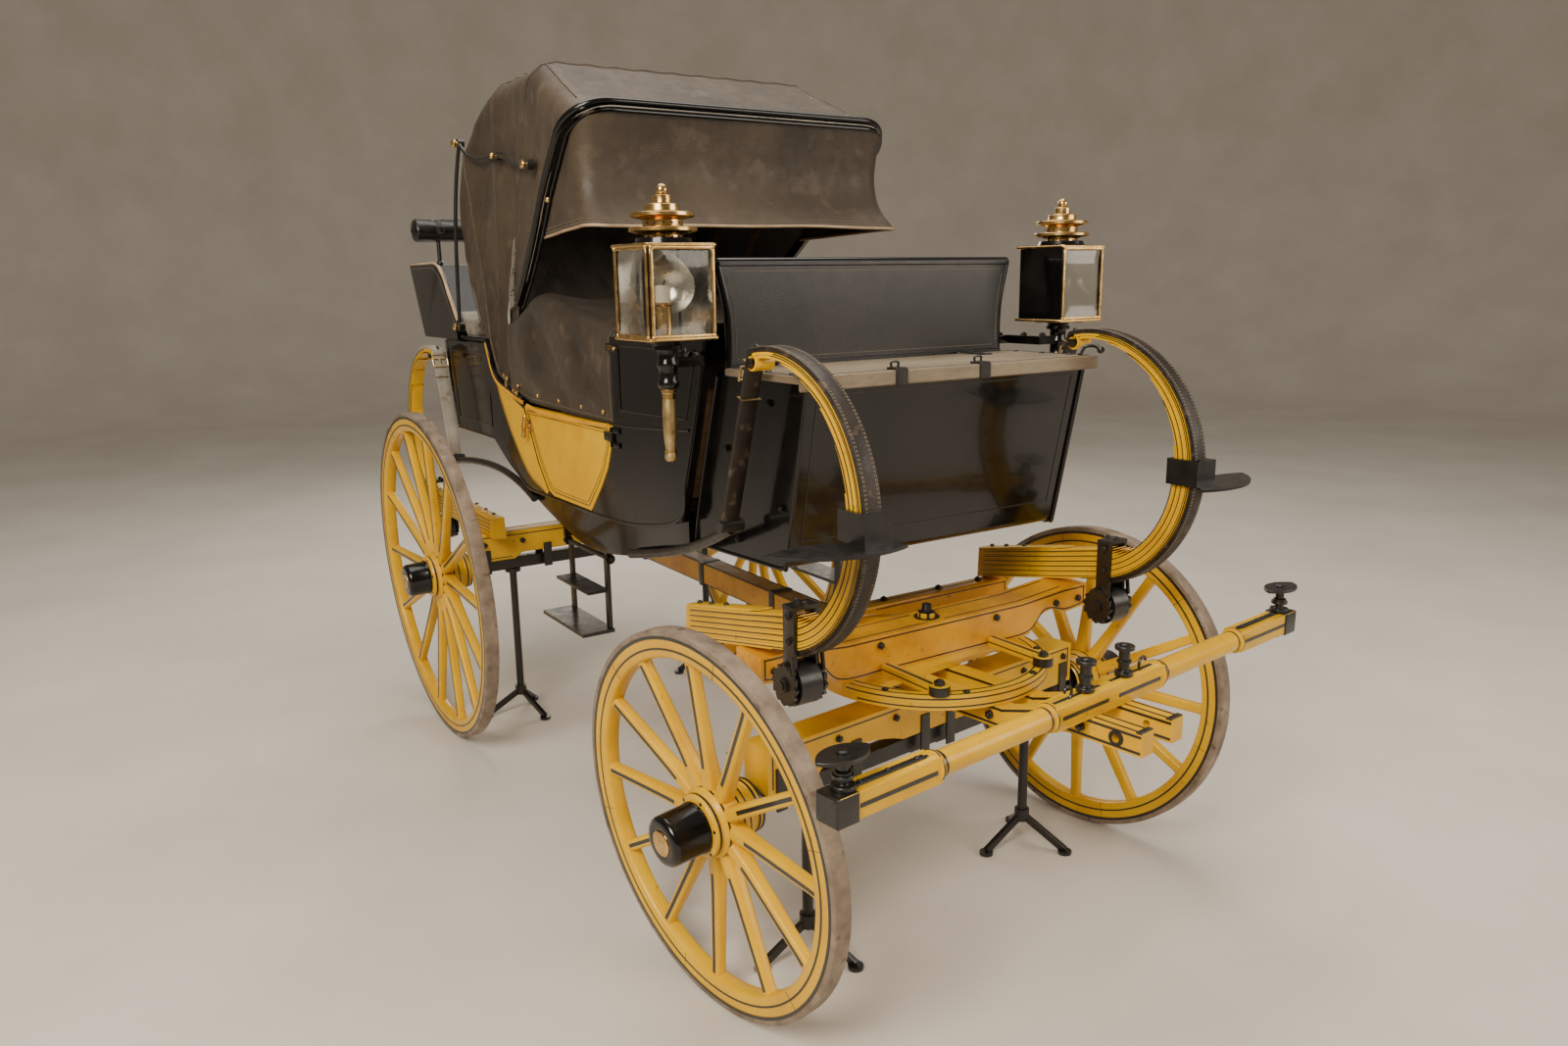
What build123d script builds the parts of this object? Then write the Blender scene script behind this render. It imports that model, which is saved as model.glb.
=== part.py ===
# four-wheeled travelling carriage with a folding hood
# millimetres: X runs forward from the rear axle, Y to the carriage's left, Z up from the ground
# the front gear is drawn straight ahead and turned to its parked angle when it is written out
import os
from math import atan, cos, degrees, radians, sin, tan

from build123d import *

# running gear
wheelbase = 1952.0
front_radius = 465.0
rear_radius = 614.0
track = 1516.0            # between the outer faces of the rims
front_camber = 3.5
rear_camber = 2.5
parked_steer = 6.3
rim_width = 46.0
tyre_thick = 13.0
felloe_depth = 54.0
dish = 30.0
arm_radius = 22.0
arm_clear = 0.4           # round the axle arm, inside the nave
ring_clear = 0.4          # between the two wheel plates
bolt_clear = 0.4          # round the king bolt
axle_half = 596.0         # to the shoulder of the axle arm
axle_half_square = 22.0
arm_in = 3.0
arm_run = track / 2 - axle_half + arm_in
front_lean = radians(front_camber)
rear_lean = radians(rear_camber)
front_axle_z = front_radius * cos(front_lean) + arm_run * tan(front_lean)
rear_axle_z = rear_radius * cos(rear_lean) + arm_run * tan(rear_lean)

# springs
spring_y = 520.0
spring_wide = 50.0
leaf_radius = 338.0
inner_radius = 311.0
front_ring = (wheelbase + 83.0, 1193.0)
rear_ring = (-532.0, 1090.0)
inner_shift = 25.0
inner_lift = 12.0
brace_thick = 12.0
brace_wide = 46.0
loop_drop = 76.0          # end of a brace below its ring's centre
eye_radius = 16.0
fit_gap = 0.3             # between fixed pieces of one body that lie together

# body
side_out = 490.0
panel = 22.0
door_gap = 6.0
sill_out = side_out - panel - fit_gap
boot_out = 450.0
boot_top = 1456.7
board = 18.0
hood_out = side_out - panel - fit_gap
hood_skin = 9.0
flare_x = 300.0           # the hood's sides are parallel behind this and spread in front of it
flare = 0.135
lid_out = 482.0

# lamps
lamp_x = 1775.0
lamp_y = 650.0
lamp_side = 170.0
lamp_low = 1556.0
lamp_high = 1765.0
lamp_foot = 1650.0        # the bracket's place on the body side

# folding steps
step_x = 800.0
step_z = 832.0
step_y = sill_out - 14.0
step_rod = 8.0
step_clear = 0.4          # round the rod, inside the lugs
lug_x = 165.0

os.makedirs("parts", exist_ok=True)


def across(y):
    # plane at this y for a profile in X and Z, which extrudes towards the right side
    return Plane.XZ.offset(-y)


def hood_half(x, half=hood_out):
    # half width of the hood at x
    return half + flare * max(0.0, x - flare_x)


def hood_plan(half):
    # a tall block with the plan of the hood: parallel at the back, spreading forward
    far = 1400.0
    wide = hood_half(far, half)
    with BuildPart() as block:
        with BuildSketch(Plane.XY.offset(1000)):
            with BuildLine():
                Polyline((-500, -half), (flare_x, -half), (far, -wide), (far, wide),
                         (flare_x, half), (-500, half), close=True)
            make_face()
        extrude(amount=1500)
    return block.part


def hood_solid(profile, half, radius):
    # the profile between the hood's sides, with its upper side edges rounded
    with BuildPart() as whole:
        extrude(profile, amount=hood_half(1400), both=True)
        add(hood_plan(half), mode=Mode.INTERSECT)
        corners = [e for e in whole.edges() if abs(e.center().Y) > 300 and e.center().Z > 1900
                   and e.center().X < 1290]
        fillet(corners, radius)
    return whole.part


# wheels, drawn once for each size: outer rim face at Z 0, axis along Z
# columns: name, radius, spokes, cap length, nave length
wheel_sizes = [
    ("front", front_radius, 12, 101.0, 150.0),
    ("rear", rear_radius, 14, 84.0, 150.0),
]
wheel_parts = {}
nave_radius = 84.0
for name, radius, spokes, cap, nave_long in wheel_sizes:
    felloe_out = radius - tyre_thick
    felloe_in = felloe_out - felloe_depth
    mid = -rim_width / 2
    with BuildPart() as tyre:
        with BuildSketch(Plane.XY.offset(-rim_width)):
            Circle(radius)
            Circle(felloe_out, mode=Mode.SUBTRACT)
        extrude(amount=rim_width)
        rims = tyre.edges().filter_by(GeomType.CIRCLE).group_by(SortBy.RADIUS)[-1]
        chamfer(rims, 3)

    root = Vector(nave_radius - 10, 0, mid - dish)
    tip = Vector(felloe_in + 8, 0, mid)
    along = (tip - root).normalized()
    with BuildPart() as wood:
        with BuildSketch(Plane.XY.offset(1 - rim_width)):
            Circle(felloe_out)
            Circle(felloe_in, mode=Mode.SUBTRACT)
        extrude(amount=rim_width - 2)
        inner = wood.edges().filter_by(GeomType.CIRCLE).group_by(SortBy.RADIUS)[0]
        chamfer(inner, 9)
        with BuildPart(mode=Mode.PRIVATE) as spoke:
            for place, wide, deep in ((root, 34.0, 46.0), (tip, 27.0, 30.0)):
                with BuildSketch(Plane(origin=place, x_dir=(0, 1, 0), z_dir=along)):
                    Rectangle(wide, deep)
                    chamfer(vertices(), wide * 0.28)
            loft(ruled=True)
        with PolarLocations(0, spokes):
            add(spoke.part)
        with BuildSketch(Plane.XY.offset(mid - dish - 40)):
            Circle(nave_radius + fit_gap)
        extrude(amount=80, mode=Mode.SUBTRACT)

    hub = mid - dish
    nave_low = hub - nave_long / 2 - 22
    with BuildPart() as nave:
        with BuildSketch(Plane.XZ):
            with BuildLine():
                Polyline(
                    (arm_radius + arm_clear, nave_low),
                    (58, nave_low),
                    (64, nave_low + 8),
                    (64, nave_low + 26),
                    (70, nave_low + 34),
                    (nave_radius, hub - 26),
                    (nave_radius, hub + 26),
                    (75, hub + 32),
                    (75, 1),
                    (60, 3),
                    (60, cap - 10),
                    (52, cap - 1),
                    (31, cap),
                    (29, cap + 3),
                    (0, cap + 3),
                    (0, cap - 8),
                    (arm_radius + arm_clear, cap - 8),
                    close=True,
                )
            make_face()
        revolve(axis=Axis.Z)
    wheel_parts[name] = (tyre.part, wood.part, nave.part)

# axles and their wooden beds
# columns: name, axle x, axle z, camber
axle_parts = {}
for name, x, z, camber in [
    ("front", wheelbase, front_axle_z, front_camber),
    ("rear", 0.0, rear_axle_z, rear_camber),
]:
    with BuildPart() as axle:
        with Locations((x, 0, z)):
            Box(2 * axle_half_square, 2 * axle_half, 2 * axle_half_square)
        for hand in (-1, 1):
            out = Vector(0, hand * cos(radians(camber)), -sin(radians(camber)))
            seat = Plane(origin=Vector(x, hand * (axle_half - arm_in), z), z_dir=out)
            with BuildSketch(seat):
                Circle(arm_radius)
            extrude(amount=225)
            with BuildSketch(seat):
                Circle(44)
            extrude(amount=14)
    axle_parts[name] = axle.part

bed_wide = 90.0
rear_bed_low = rear_axle_z + axle_half_square + fit_gap
rear_foot_z = 752.0
rear_bed_top = rear_foot_z - fit_gap
with BuildPart() as rear_axle_bed:
    with BuildSketch(Plane.YZ.offset(-bed_wide / 2)):
        with BuildLine():
            Polyline(
                (-585, rear_bed_low), (-585, rear_bed_top), (585, rear_bed_top),
                (585, rear_bed_low), (430, rear_bed_low), (400, 664), (120, 664),
                (90, rear_bed_low), (-90, rear_bed_low), (-120, 664), (-400, 664),
                (-430, rear_bed_low), close=True,
            )
        make_face()
    extrude(amount=bed_wide)

front_bed_top = 612.0
front_bed_low = front_axle_z + axle_half_square + fit_gap
with BuildPart() as front_axle_bed:
    with BuildSketch(Plane.YZ.offset(wheelbase - bed_wide / 2)):
        with BuildLine():
            Polyline(
                (-585, front_bed_low), (-585, front_bed_top), (585, front_bed_top),
                (585, front_bed_low), (440, front_bed_low), (400, 530),
            )
            ThreePointArc((400, 530), (250, 540), (130, 512))
            Line((130, 512), (-130, 512))
            ThreePointArc((-130, 512), (-250, 540), (-400, 530))
            Polyline((-400, 530), (-440, front_bed_low), (-585, front_bed_low))
        make_face()
    extrude(amount=bed_wide)
    with BuildSketch(Plane.XY.offset(480)):
        with Locations((wheelbase, 0)):
            Circle(12 + bolt_clear)
    extrude(amount=200, mode=Mode.SUBTRACT)

# perch with the bar that carries the back ends of the front springs
transom_back = wheelbase - 55.0
perch_end = transom_back - fit_gap
perch_bend = wheelbase - 352.0
with BuildPart() as perch:
    with BuildSketch(Plane.XZ):
        with BuildLine():
            Polyline(
                (bed_wide / 2 + fit_gap, 650), (bed_wide / 2 + fit_gap, 728), (perch_bend, 716),
                (perch_end, 800), (perch_end, 718), (perch_bend, 640), close=True,
            )
        make_face()
    extrude(amount=34, both=True)
    with Locations((wheelbase - 292, 0, 738)):
        Box(60, 1110, 56)

# front transom, with the arched ends of the real one
transom_low = 708.0
transom_end = 820.4 - fit_gap      # under the slope of the spring foot
with BuildPart() as front_transom:
    with BuildSketch(Plane.YZ.offset(transom_back)):
        with BuildLine():
            Polyline(
                (-556, 756), (-556, transom_end), (-470, transom_end), (-300, 806), (300, 806),
                (470, transom_end), (556, transom_end), (556, 756), (470, 748),
            )
            ThreePointArc((470, 748), (390, 762), (330, transom_low))
            Line((330, transom_low), (-330, transom_low))
            ThreePointArc((-330, transom_low), (-390, 762), (-470, 748))
            Line((-470, 748), (-556, 756))
        make_face()
    extrude(amount=110)
    with BuildSketch(Plane.XY.offset(700)):
        with Locations((wheelbase, 0)):
            Circle(12 + fit_gap)
    extrude(amount=140, mode=Mode.SUBTRACT)

# wheel plates: the upper one with its two stay arms and the king bolt, the lower one on the gear
plate_radius = 300.0
plate_half = 17.0
upper_low = transom_low - fit_gap - 20.0
with BuildPart() as upper_wheel_plate:
    with BuildSketch(Plane.XY.offset(upper_low)):
        with Locations((wheelbase, 0)):
            Circle(plate_radius + plate_half)
            Circle(plate_radius - plate_half, mode=Mode.SUBTRACT)
        with Locations((wheelbase - 400, 0)):
            Rectangle(800, 800, mode=Mode.SUBTRACT)
        with Locations((wheelbase, 0)):
            Rectangle(106, 2 * plate_radius + 2 * plate_half)
    extrude(amount=20)
    with BuildSketch(Plane.XY.offset(upper_low + 20)):
        for hand in (-1, 1):
            with Locations((wheelbase + 158, hand * 184)):
                Rectangle(198, 30)
            with Locations((wheelbase + 252, hand * 176)):
                Circle(25)
    extrude(amount=24)
    with BuildSketch(Plane.XY.offset(501)):
        with Locations((wheelbase, 0)):
            Circle(12)
    extrude(amount=319)
    with Locations((wheelbase, 0, 814)):
        Cylinder(24, 14)

lower_low = upper_low - ring_clear - 18.0
with BuildPart() as lower_wheel_plate:
    with BuildSketch(Plane.XY.offset(lower_low)):
        with Locations((wheelbase, 0)):
            Circle(plate_radius + plate_half)
            Circle(plate_radius - plate_half, mode=Mode.SUBTRACT)
            Rectangle(100, 2 * plate_radius)
            Circle(12 + bolt_clear, mode=Mode.SUBTRACT)
        with Locations((wheelbase - 450, 0)):
            Rectangle(800, 800, mode=Mode.SUBTRACT)
    extrude(amount=18)

# futchells: two beams that hold the pole between them, with the pin hole across
pole_gap = 76.0
futchell_wide = 42.0
pin_x = wheelbase + 640.0
pin_z = 692.0
pin_radius = 9.0
bar_x = wheelbase + 551.0
bar_z = 747.0
bar_square = 54.0
futchell_top = bar_z - bar_square / 2 - fit_gap
with BuildPart() as futchells:
    with BuildSketch(across(pole_gap / 2 + futchell_wide)):
        with BuildLine():
            Polyline(
                (wheelbase - 130, front_bed_top + fit_gap), (wheelbase - 130, lower_low - fit_gap),
                (wheelbase + 330, lower_low - fit_gap), (wheelbase + 500, futchell_top),
                (wheelbase + 705, futchell_top), (wheelbase + 705, 665), (wheelbase + 510, 665),
                (wheelbase + 330, front_bed_top + fit_gap), close=True,
            )
        make_face()
    extrude(amount=futchell_wide)
    with BuildSketch(across(pole_gap / 2 + futchell_wide + 5)):
        with Locations((pin_x, pin_z)):
            Circle(pin_radius)
    extrude(amount=60, mode=Mode.SUBTRACT)
    with Locations((wheelbase + 470, pole_gap / 4, 674)):
        Box(50, pole_gap / 2 + 8, 40)
    mirror(about=Plane.XZ)

# splinter bar: round between square blocks, collars at the changes, iron caps at the ends
# columns: from, to, kind
bar_runs = [
    (-805.0, -575.0, "square"),
    (-575.0, -210.0, "round"),
    (-210.0, 210.0, "square"),
    (210.0, 575.0, "round"),
    (575.0, 805.0, "square"),
]
with BuildPart() as splinter_bar:
    for start, end, kind in bar_runs:
        with BuildSketch(Plane.XZ.offset(-end)):
            with Locations((bar_x, bar_z)):
                if kind == "square":
                    Rectangle(bar_square, bar_square)
                else:
                    Circle(27)
        extrude(amount=end - start)
    for y in (-575, -210, 210, 575):
        with BuildSketch(Plane.XZ.offset(-y - 5)):
            with Locations((bar_x, bar_z)):
                Circle(33)
        extrude(amount=10)
    for hand in (-1, 1):
        with Locations((bar_x, hand * 828, bar_z)):
            Box(bar_square + 6, 45, bar_square + 6)

# roller bolts for the traces: two outer ones with a pointed tread on top, two inner ones
bolt_foot = bar_z + bar_square / 2 + 3.5
with BuildPart() as roller_bolts:
    for y in (-816, 816):
        with Locations((bar_x, y, bolt_foot + 5)):
            Cylinder(24, 10)
        with Locations((bar_x, y, bolt_foot + 35)):
            Cylinder(11, 60)
        with Locations((bar_x, y, bolt_foot + 26)):
            Cylinder(21, 8)
        with BuildSketch(Plane.XY.offset(bolt_foot + 62)):
            with BuildLine():
                ThreePointArc((bar_x, y - 66), (bar_x + 38, y), (bar_x, y + 66))
                ThreePointArc((bar_x, y + 66), (bar_x - 38, y), (bar_x, y - 66))
            make_face()
        extrude(amount=8)
    for y in (-75, 75):
        with Locations((bar_x, y, bolt_foot + 3)):
            Cylinder(21, 12)
        with Locations((bar_x, y, bolt_foot + 32)):
            Cylinder(13, 60)
        with Locations((bar_x, y, bolt_foot + 66)):
            Cylinder(23, 10)

# springs: an open C of leaves on a straight foot
# columns: name, ring centre, side the C bulges to, foot end x and z, depth of the foot
spring_parts = {}
brace_parts = {}
spring_low = {}
for name, ring, way, foot_x, foot_z, foot_deep in [
    ("front", front_ring, 1, wheelbase - 330, 765.0, 97.0),
    ("rear", rear_ring, -1, 140.0, rear_foot_z, 84.0),
]:
    cx, cz = ring
    slope = 11.4 if name == "front" else 0.0
    ix = cx - way * inner_shift
    iz = cz + inner_lift
    foot_angle = radians(slope - 90)
    low = (cx + way * leaf_radius * cos(foot_angle), cz + leaf_radius * sin(foot_angle))
    end_angle = radians(100)
    top_out = (cx + way * leaf_radius * cos(end_angle), cz + leaf_radius * sin(end_angle))
    top_in = (ix + way * inner_radius * cos(radians(96)), iz + inner_radius * sin(radians(96)))
    in_angle = radians(-47)
    low_in = (ix + way * inner_radius * cos(in_angle), iz + inner_radius * sin(in_angle))
    with BuildPart() as spring:
        with BuildSketch(Plane.XZ):
            with BuildLine():
                Line((foot_x, foot_z), low)
                ThreePointArc(low, (cx + way * leaf_radius, cz), top_out)
                Line(top_out, top_in)
                ThreePointArc(top_in, (ix + way * inner_radius, iz), low_in)
                Line(low_in, (foot_x, foot_z + foot_deep))
                Line((foot_x, foot_z + foot_deep), (foot_x, foot_z))
            make_face()
        extrude(amount=spring_wide / 2, both=True)
        with BuildSketch(Plane.XZ):
            with Locations((top_in[0] - way * 4, top_in[1] - 10)):
                Circle(17)
        extrude(amount=spring_wide / 2 + 1, both=True)
    with BuildPart() as pair:
        for hand in (-1, 1):
            with Locations((0, hand * spring_y, 0)):
                add(spring.part)
    spring_parts[name] = pair.part

    brace_in = leaf_radius + fit_gap
    brace_out = brace_in + brace_thick
    start = radians(103)
    finish = radians(slope - 88)
    loop_x = cx - way * 213
    loop_z = cz - loop_drop
    hang_x = cx - way * 82
    hang_z = cz + 300
    with BuildPart() as brace:
        with BuildSketch(Plane.XZ):
            with BuildLine():
                a_in = (cx + way * brace_in * cos(start), cz + brace_in * sin(start))
                b_in = (cx + way * brace_in * cos(finish), cz + brace_in * sin(finish))
                a_out = (cx + way * brace_out * cos(start), cz + brace_out * sin(start))
                b_out = (cx + way * brace_out * cos(finish), cz + brace_out * sin(finish))
                ThreePointArc(a_in, (cx + way * brace_in, cz), b_in)
                Line(b_in, b_out)
                ThreePointArc(b_out, (cx + way * brace_out, cz), a_out)
                Line(a_out, (hang_x - way * 14, hang_z + 6))
                Line((hang_x - way * 14, hang_z + 6), (loop_x - way * 6, loop_z))
                Line((loop_x - way * 6, loop_z), (loop_x + way * 6, loop_z))
                Line((loop_x + way * 6, loop_z), (hang_x, hang_z))
                Line((hang_x, hang_z), a_in)
            make_face()
        extrude(amount=brace_wide / 2, both=True)
    with BuildPart() as pair:
        for hand in (-1, 1):
            with Locations((0, hand * spring_y, 0)):
                add(brace.part)
    brace_parts[name] = pair.part
    spring_low[name] = low

# ironwork on the springs: bands, the brace winches and the two pointed treads
with BuildPart() as spring_irons:
    # columns: name, ring centre, side the C bulges to, height of the band over the leaves
    for name, ring, way, over in [("front", front_ring, 1, 114.0), ("rear", rear_ring, -1, 127.0)]:
        cx, cz = ring
        low_x, low_z = spring_low[name]
        for hand in (-1, 1):
            with BuildSketch(Plane.XZ.offset(-hand * spring_y - 29)):
                with Locations((low_x + way * 14, low_z - brace_thick - 60)):
                    Circle(52)
            extrude(amount=58)
            for side in (-1, 1):
                cheek = hand * spring_y + side * (spring_wide / 2 + fit_gap + 4.5)
                with Locations((low_x + way * 20, cheek, low_z + (over - 98) / 2)):
                    Box(44, 9, over + 98)
            with Locations((low_x + way * 20, hand * spring_y, low_z + over - 4.5)):
                Box(44, spring_wide + 21, 9)
            if name == "front":
                with BuildSketch(Plane.XY.offset(1158)):
                    with BuildLine():
                        first = (cx + 305, hand * 762)
                        last = (cx + 398, hand * 470)
                        ThreePointArc(first, (cx + 405, hand * 640), last)
                        ThreePointArc(last, (cx + 298, hand * 592), first)
                    make_face()
                extrude(amount=7)
                with Locations((cx + 322, hand * spring_y, 1196)):
                    Box(92, spring_wide + 22, 66)
    for part in (*spring_parts.values(), *brace_parts.values()):
        add(part, mode=Mode.SUBTRACT)

# body: bottom boards and sills that follow the boat-shaped underside
# columns: x, z of the underside
keel = [
    (0.0, 1110.0), (150.0, 1034.0), (391.0, 945.0), (645.0, 878.0), (803.0, 850.0),
    (1000.0, 858.0), (1235.0, 900.0), (1516.0, 972.0),
]
with BuildPart() as body_floor:
    with BuildSketch(Plane.XZ):
        with BuildLine():
            low = Spline(*keel)
            Polyline(keel[-1], (1516, 990), (1235, 918))
            Spline((1235, 918), (1000, 876), (803, 868), (645, 896), (391, 963), (150, 1052),
                   (14, 1128))
            Line((14, 1128), keel[0])
        make_face()
    extrude(amount=sill_out, both=True)
    with Locations((9, 0, 1300)):
        Box(board, 2 * sill_out, 366)
    for hand in (-1, 1):
        inside = sill_out - 30 if hand > 0 else -sill_out
        with BuildSketch(across(inside + 30)):
            with BuildLine():
                Spline(*keel)
                Polyline(keel[-1], (1516, 1080), (1235, 1010), (935, 994), (560, 994),
                         (391, 994), (240, 1060), (60, 1290), (14, 1290), keel[0])
            make_face()
        extrude(amount=30)
    for x in (step_x - lug_x, step_x + lug_x):
        for y in (-step_y, step_y):
            with Locations((x, y, step_z)):
                Cylinder(step_rod + step_clear + 7, 14, rotation=(0, 90, 0))
            with Locations((x, y, step_z + 40)):
                Box(14, 26, 50)
    for y in (-step_y, step_y):
        with Locations((step_x, y, step_z)):
            hole = step_rod + step_clear
            Cylinder(hole, 2 * lug_x + 40, rotation=(0, 90, 0), mode=Mode.SUBTRACT)

# side panels with the door opening, the belt line and the tall front quarter
quarter_x = 1116.0
door_outline = [
    (400.0, 1268.0), (436.0, 1205.0), (505.0, 1085.0), (585.0, 998.0), (625.0, 986.0),
    (925.0, 986.0), (1015.0, 1080.0), (1062.0, 1140.0), (1100.0, 1225.0), (1106.0, 1268.0),
]
hinge_x = (door_outline[-1][0] + quarter_x) / 2
hinge_y = side_out + 6.0
hinge_z = 1238.0
knuckle = 4.5
side_parts = {}
door_parts = {}
for name, hand in (("left", 1), ("right", -1)):
    inside = side_out - panel if hand > 0 else -side_out
    with BuildPart() as side:
        with BuildSketch(across(inside + panel)):
            with BuildLine():
                Polyline((400, 972), (935, 972), (1235, 988), (1516, 1052))
                Spline((1516, 1052), (1560, 1171), (1632, 1384), (1675, 1546))
                Line((1675, 1546), (quarter_x, 1530))
                Line((quarter_x, 1530), (quarter_x, 1276))
                Spline((quarter_x, 1276), (933, 1268), (618, 1262), (445, 1276), (263, 1306),
                       (119, 1352), (40, 1486))
                Spline((40, 1486), (50, 1310), (153, 1154), (259, 1040), (400, 972))
            make_face()
            with BuildSketch(mode=Mode.PRIVATE) as opening:
                with BuildLine():
                    Polyline(*door_outline, (1106, 1320), (400, 1320), close=True)
                make_face()
                offset(amount=door_gap)
            add(opening.sketch, mode=Mode.SUBTRACT)
        extrude(amount=panel)
        for z in (hinge_z - 21.4, hinge_z + 21.4):
            with Locations((hinge_x, hand * hinge_y, z)):
                Cylinder(knuckle, 16)
            with Locations((hinge_x + 24, hand * (side_out + 2.5), z)):
                Box(48, 5, 16)
    side_parts[name] = side.part
    with BuildPart() as door:
        with BuildSketch(across(inside + panel)):
            with BuildLine():
                Polyline(*door_outline, close=True)
            make_face()
        extrude(amount=panel)
        with Locations((452, hand * (side_out + 10), 1205)):
            Cylinder(6, 24, rotation=(90, 0, 0))
        with Locations((452, hand * (side_out + 24), 1205)):
            Cylinder(6, 70, rotation=(0, 20, 0))
        with Locations((hinge_x, hand * hinge_y, hinge_z)):
            Cylinder(knuckle, 26)
        with Locations((hinge_x - 26, hand * (side_out + 2.5), hinge_z)):
            Box(52, 5, 26)
    door_parts[name] = door.part

# front boot: a lidded box with a leaning face, and the dash board that stands behind it
with BuildPart() as front_boot:
    with BuildSketch(Plane.XZ) as outer:
        with BuildLine():
            Polyline((1660, boot_top), (2052, boot_top), (1964, 1030))
            ThreePointArc((1964, 1030), (1955, 1013), (1936, 1006))
            Polyline((1936, 1006), (1516 + fit_gap, 992), (1560, 1150), (1660, boot_top))
        make_face()
    extrude(amount=boot_out, both=True)
    with BuildSketch(Plane.XZ):
        with BuildLine():
            Polyline((1742, 1500), (2044, 1500), (2034, 1456), (1948, 1040))
            ThreePointArc((1948, 1040), (1943, 1029), (1932, 1025))
            Polyline((1932, 1025), (1543, 1013), (1579, 1150), (1672, 1432), (1742, 1432),
                     (1742, 1500))
        make_face()
    extrude(amount=boot_out - board, both=True, mode=Mode.SUBTRACT)

with BuildPart() as boot_lid:
    with Locations(((1748 + 2076) / 2, 0, boot_top + fit_gap + 9)):
        Box(2076 - 1748, 2 * lid_out, 18)
    with Locations((2071, 0, boot_top - 4)):
        Box(10, 2 * lid_out, 24)

with BuildPart() as dash_panel:
    with BuildSketch(Plane.YZ.offset(1712)):
        with BuildLine():
            dash_low = boot_top + fit_gap
            Line((-452, dash_low), (452, dash_low))
            ThreePointArc((452, dash_low), (454, 1600), (479, 1722))
            Line((479, 1722), (-479, 1722))
            ThreePointArc((-479, 1722), (-454, 1600), (-452, dash_low))
        make_face()
    extrude(amount=20)
    with Locations((1722, 0, 1724)):
        Box(30, 962, 10)
    with Locations((1722, 0, dash_low + 12)):
        Box(30, 912, 24)

# seat, its cushions and the back of the cabin
with BuildPart() as cabin_seat:
    with Locations((350, 0, 1290)):
        Box(500, 2 * sill_out - 64, board)
    with Locations((591, 0, 1091)):
        Box(board, 2 * sill_out - 64, 382)
    add(body_floor.part, mode=Mode.SUBTRACT)

with BuildPart() as seat_cushions:
    board_top = 1299 + fit_gap
    with Locations((371.5, 0, board_top + 55)):
        Box(439, 840, 110)
        fillet(edges().filter_by(Axis.Z), 40)
    with BuildSketch(Plane.XZ):
        with BuildLine():
            Polyline((84, board_top), (151, board_top), (151, 1410), (60, 1960), (-60, 1960),
                     close=True)
        make_face()
        fillet(vertices().group_by(Axis.Y)[-1], 30)
    extrude(amount=420, both=True)

# hood: leather over the hoops, the front hoop, the stiff flap that hangs from it
# columns: x, z of the front bow's back edge, from the foot to the top
bow_back = [
    (352.0, 1640.0), (483.0, 1724.0), (595.0, 1809.0), (703.0, 1902.0), (777.0, 1970.0),
    (862.0, 2034.0), (1085.0, 2192.0),
]
bow_front = [(x + 26, z - 34) for x, z in bow_back]
roof_front = (bow_back[-1][0] + 7, bow_back[-1][1] - 23)      # inside the bow's top bar
hood_line = [roof_front] + [(x + 14, z - 18) for x, z in reversed(bow_back[:-1])]
ridge = (700.0, 2345.0)
roof_back = (215.0, 2362.0)
back_curve = [roof_back, (0.0, 2298.0), (-172.0, 2180.0), (-255.0, 2010.0), (-215.0, 1800.0)]
back_foot = (-93.0, 1537.0)
front_x = 1300.0          # the hood is drawn to here and then cut off along its front line
roof_slope = (roof_front[1] - ridge[1]) / (roof_front[0] - ridge[0])
with BuildSketch(Plane.XZ) as outer_line:
    with BuildLine():
        roof_end = (front_x, ridge[1] + (front_x - ridge[0]) * roof_slope)
        Line(roof_end, ridge)
        Line(ridge, roof_back)
        Spline(*back_curve, back_foot)
        Polyline(back_foot, (36, 1490), (104, 1364), (248, 1306), (front_x, 1306), roof_end)
    make_face()
with BuildSketch(Plane.XZ) as inner_line:
    with BuildLine():
        Polyline((front_x, 2077), (697, 2336), (217, 2353))
        Spline((217, 2353), (5, 2290), (-164, 2175), (-246, 2009), (-206, 1802), (-84, 1541))
        Polyline((-84, 1541), (-84, 1200), (front_x, 1200), (front_x, 2077))
    make_face()
hood_radius = 90.0
with BuildPart() as hood_block:
    add(hood_solid(outer_line.sketch, hood_out, hood_radius))
    with BuildSketch(Plane.XZ):
        with BuildLine():
            Spline(*hood_line)
            Polyline(hood_line[-1], (248, 1590), (248, 1200), (1500, 1200), (1500, 2246),
                     (1200, 2246), hood_line[0])
        make_face()
    extrude(amount=hood_half(1400), both=True, mode=Mode.SUBTRACT)

with BuildPart() as hood_leather:
    add(hood_block.part)
    add(hood_solid(inner_line.sketch, hood_out - hood_skin, hood_radius - hood_skin),
        mode=Mode.SUBTRACT)

with BuildPart() as bow_hollow:
    with BuildSketch(Plane.XZ):
        with BuildLine():
            Polyline((1057, 2218), (1095, 2128), (1000, 1400), (180, 1400), (180, 1700),
                     (700, 2218), close=True)
        make_face()
    extrude(amount=hood_half(1400), both=True)
    add(hood_plan(hood_out - 24), mode=Mode.INTERSECT)
    corners = [e for e in bow_hollow.edges() if e.center().Z > 2150 and e.center().X > 1060
               and abs(e.center().Y) > 400]
    fillet(corners, 110)

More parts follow.
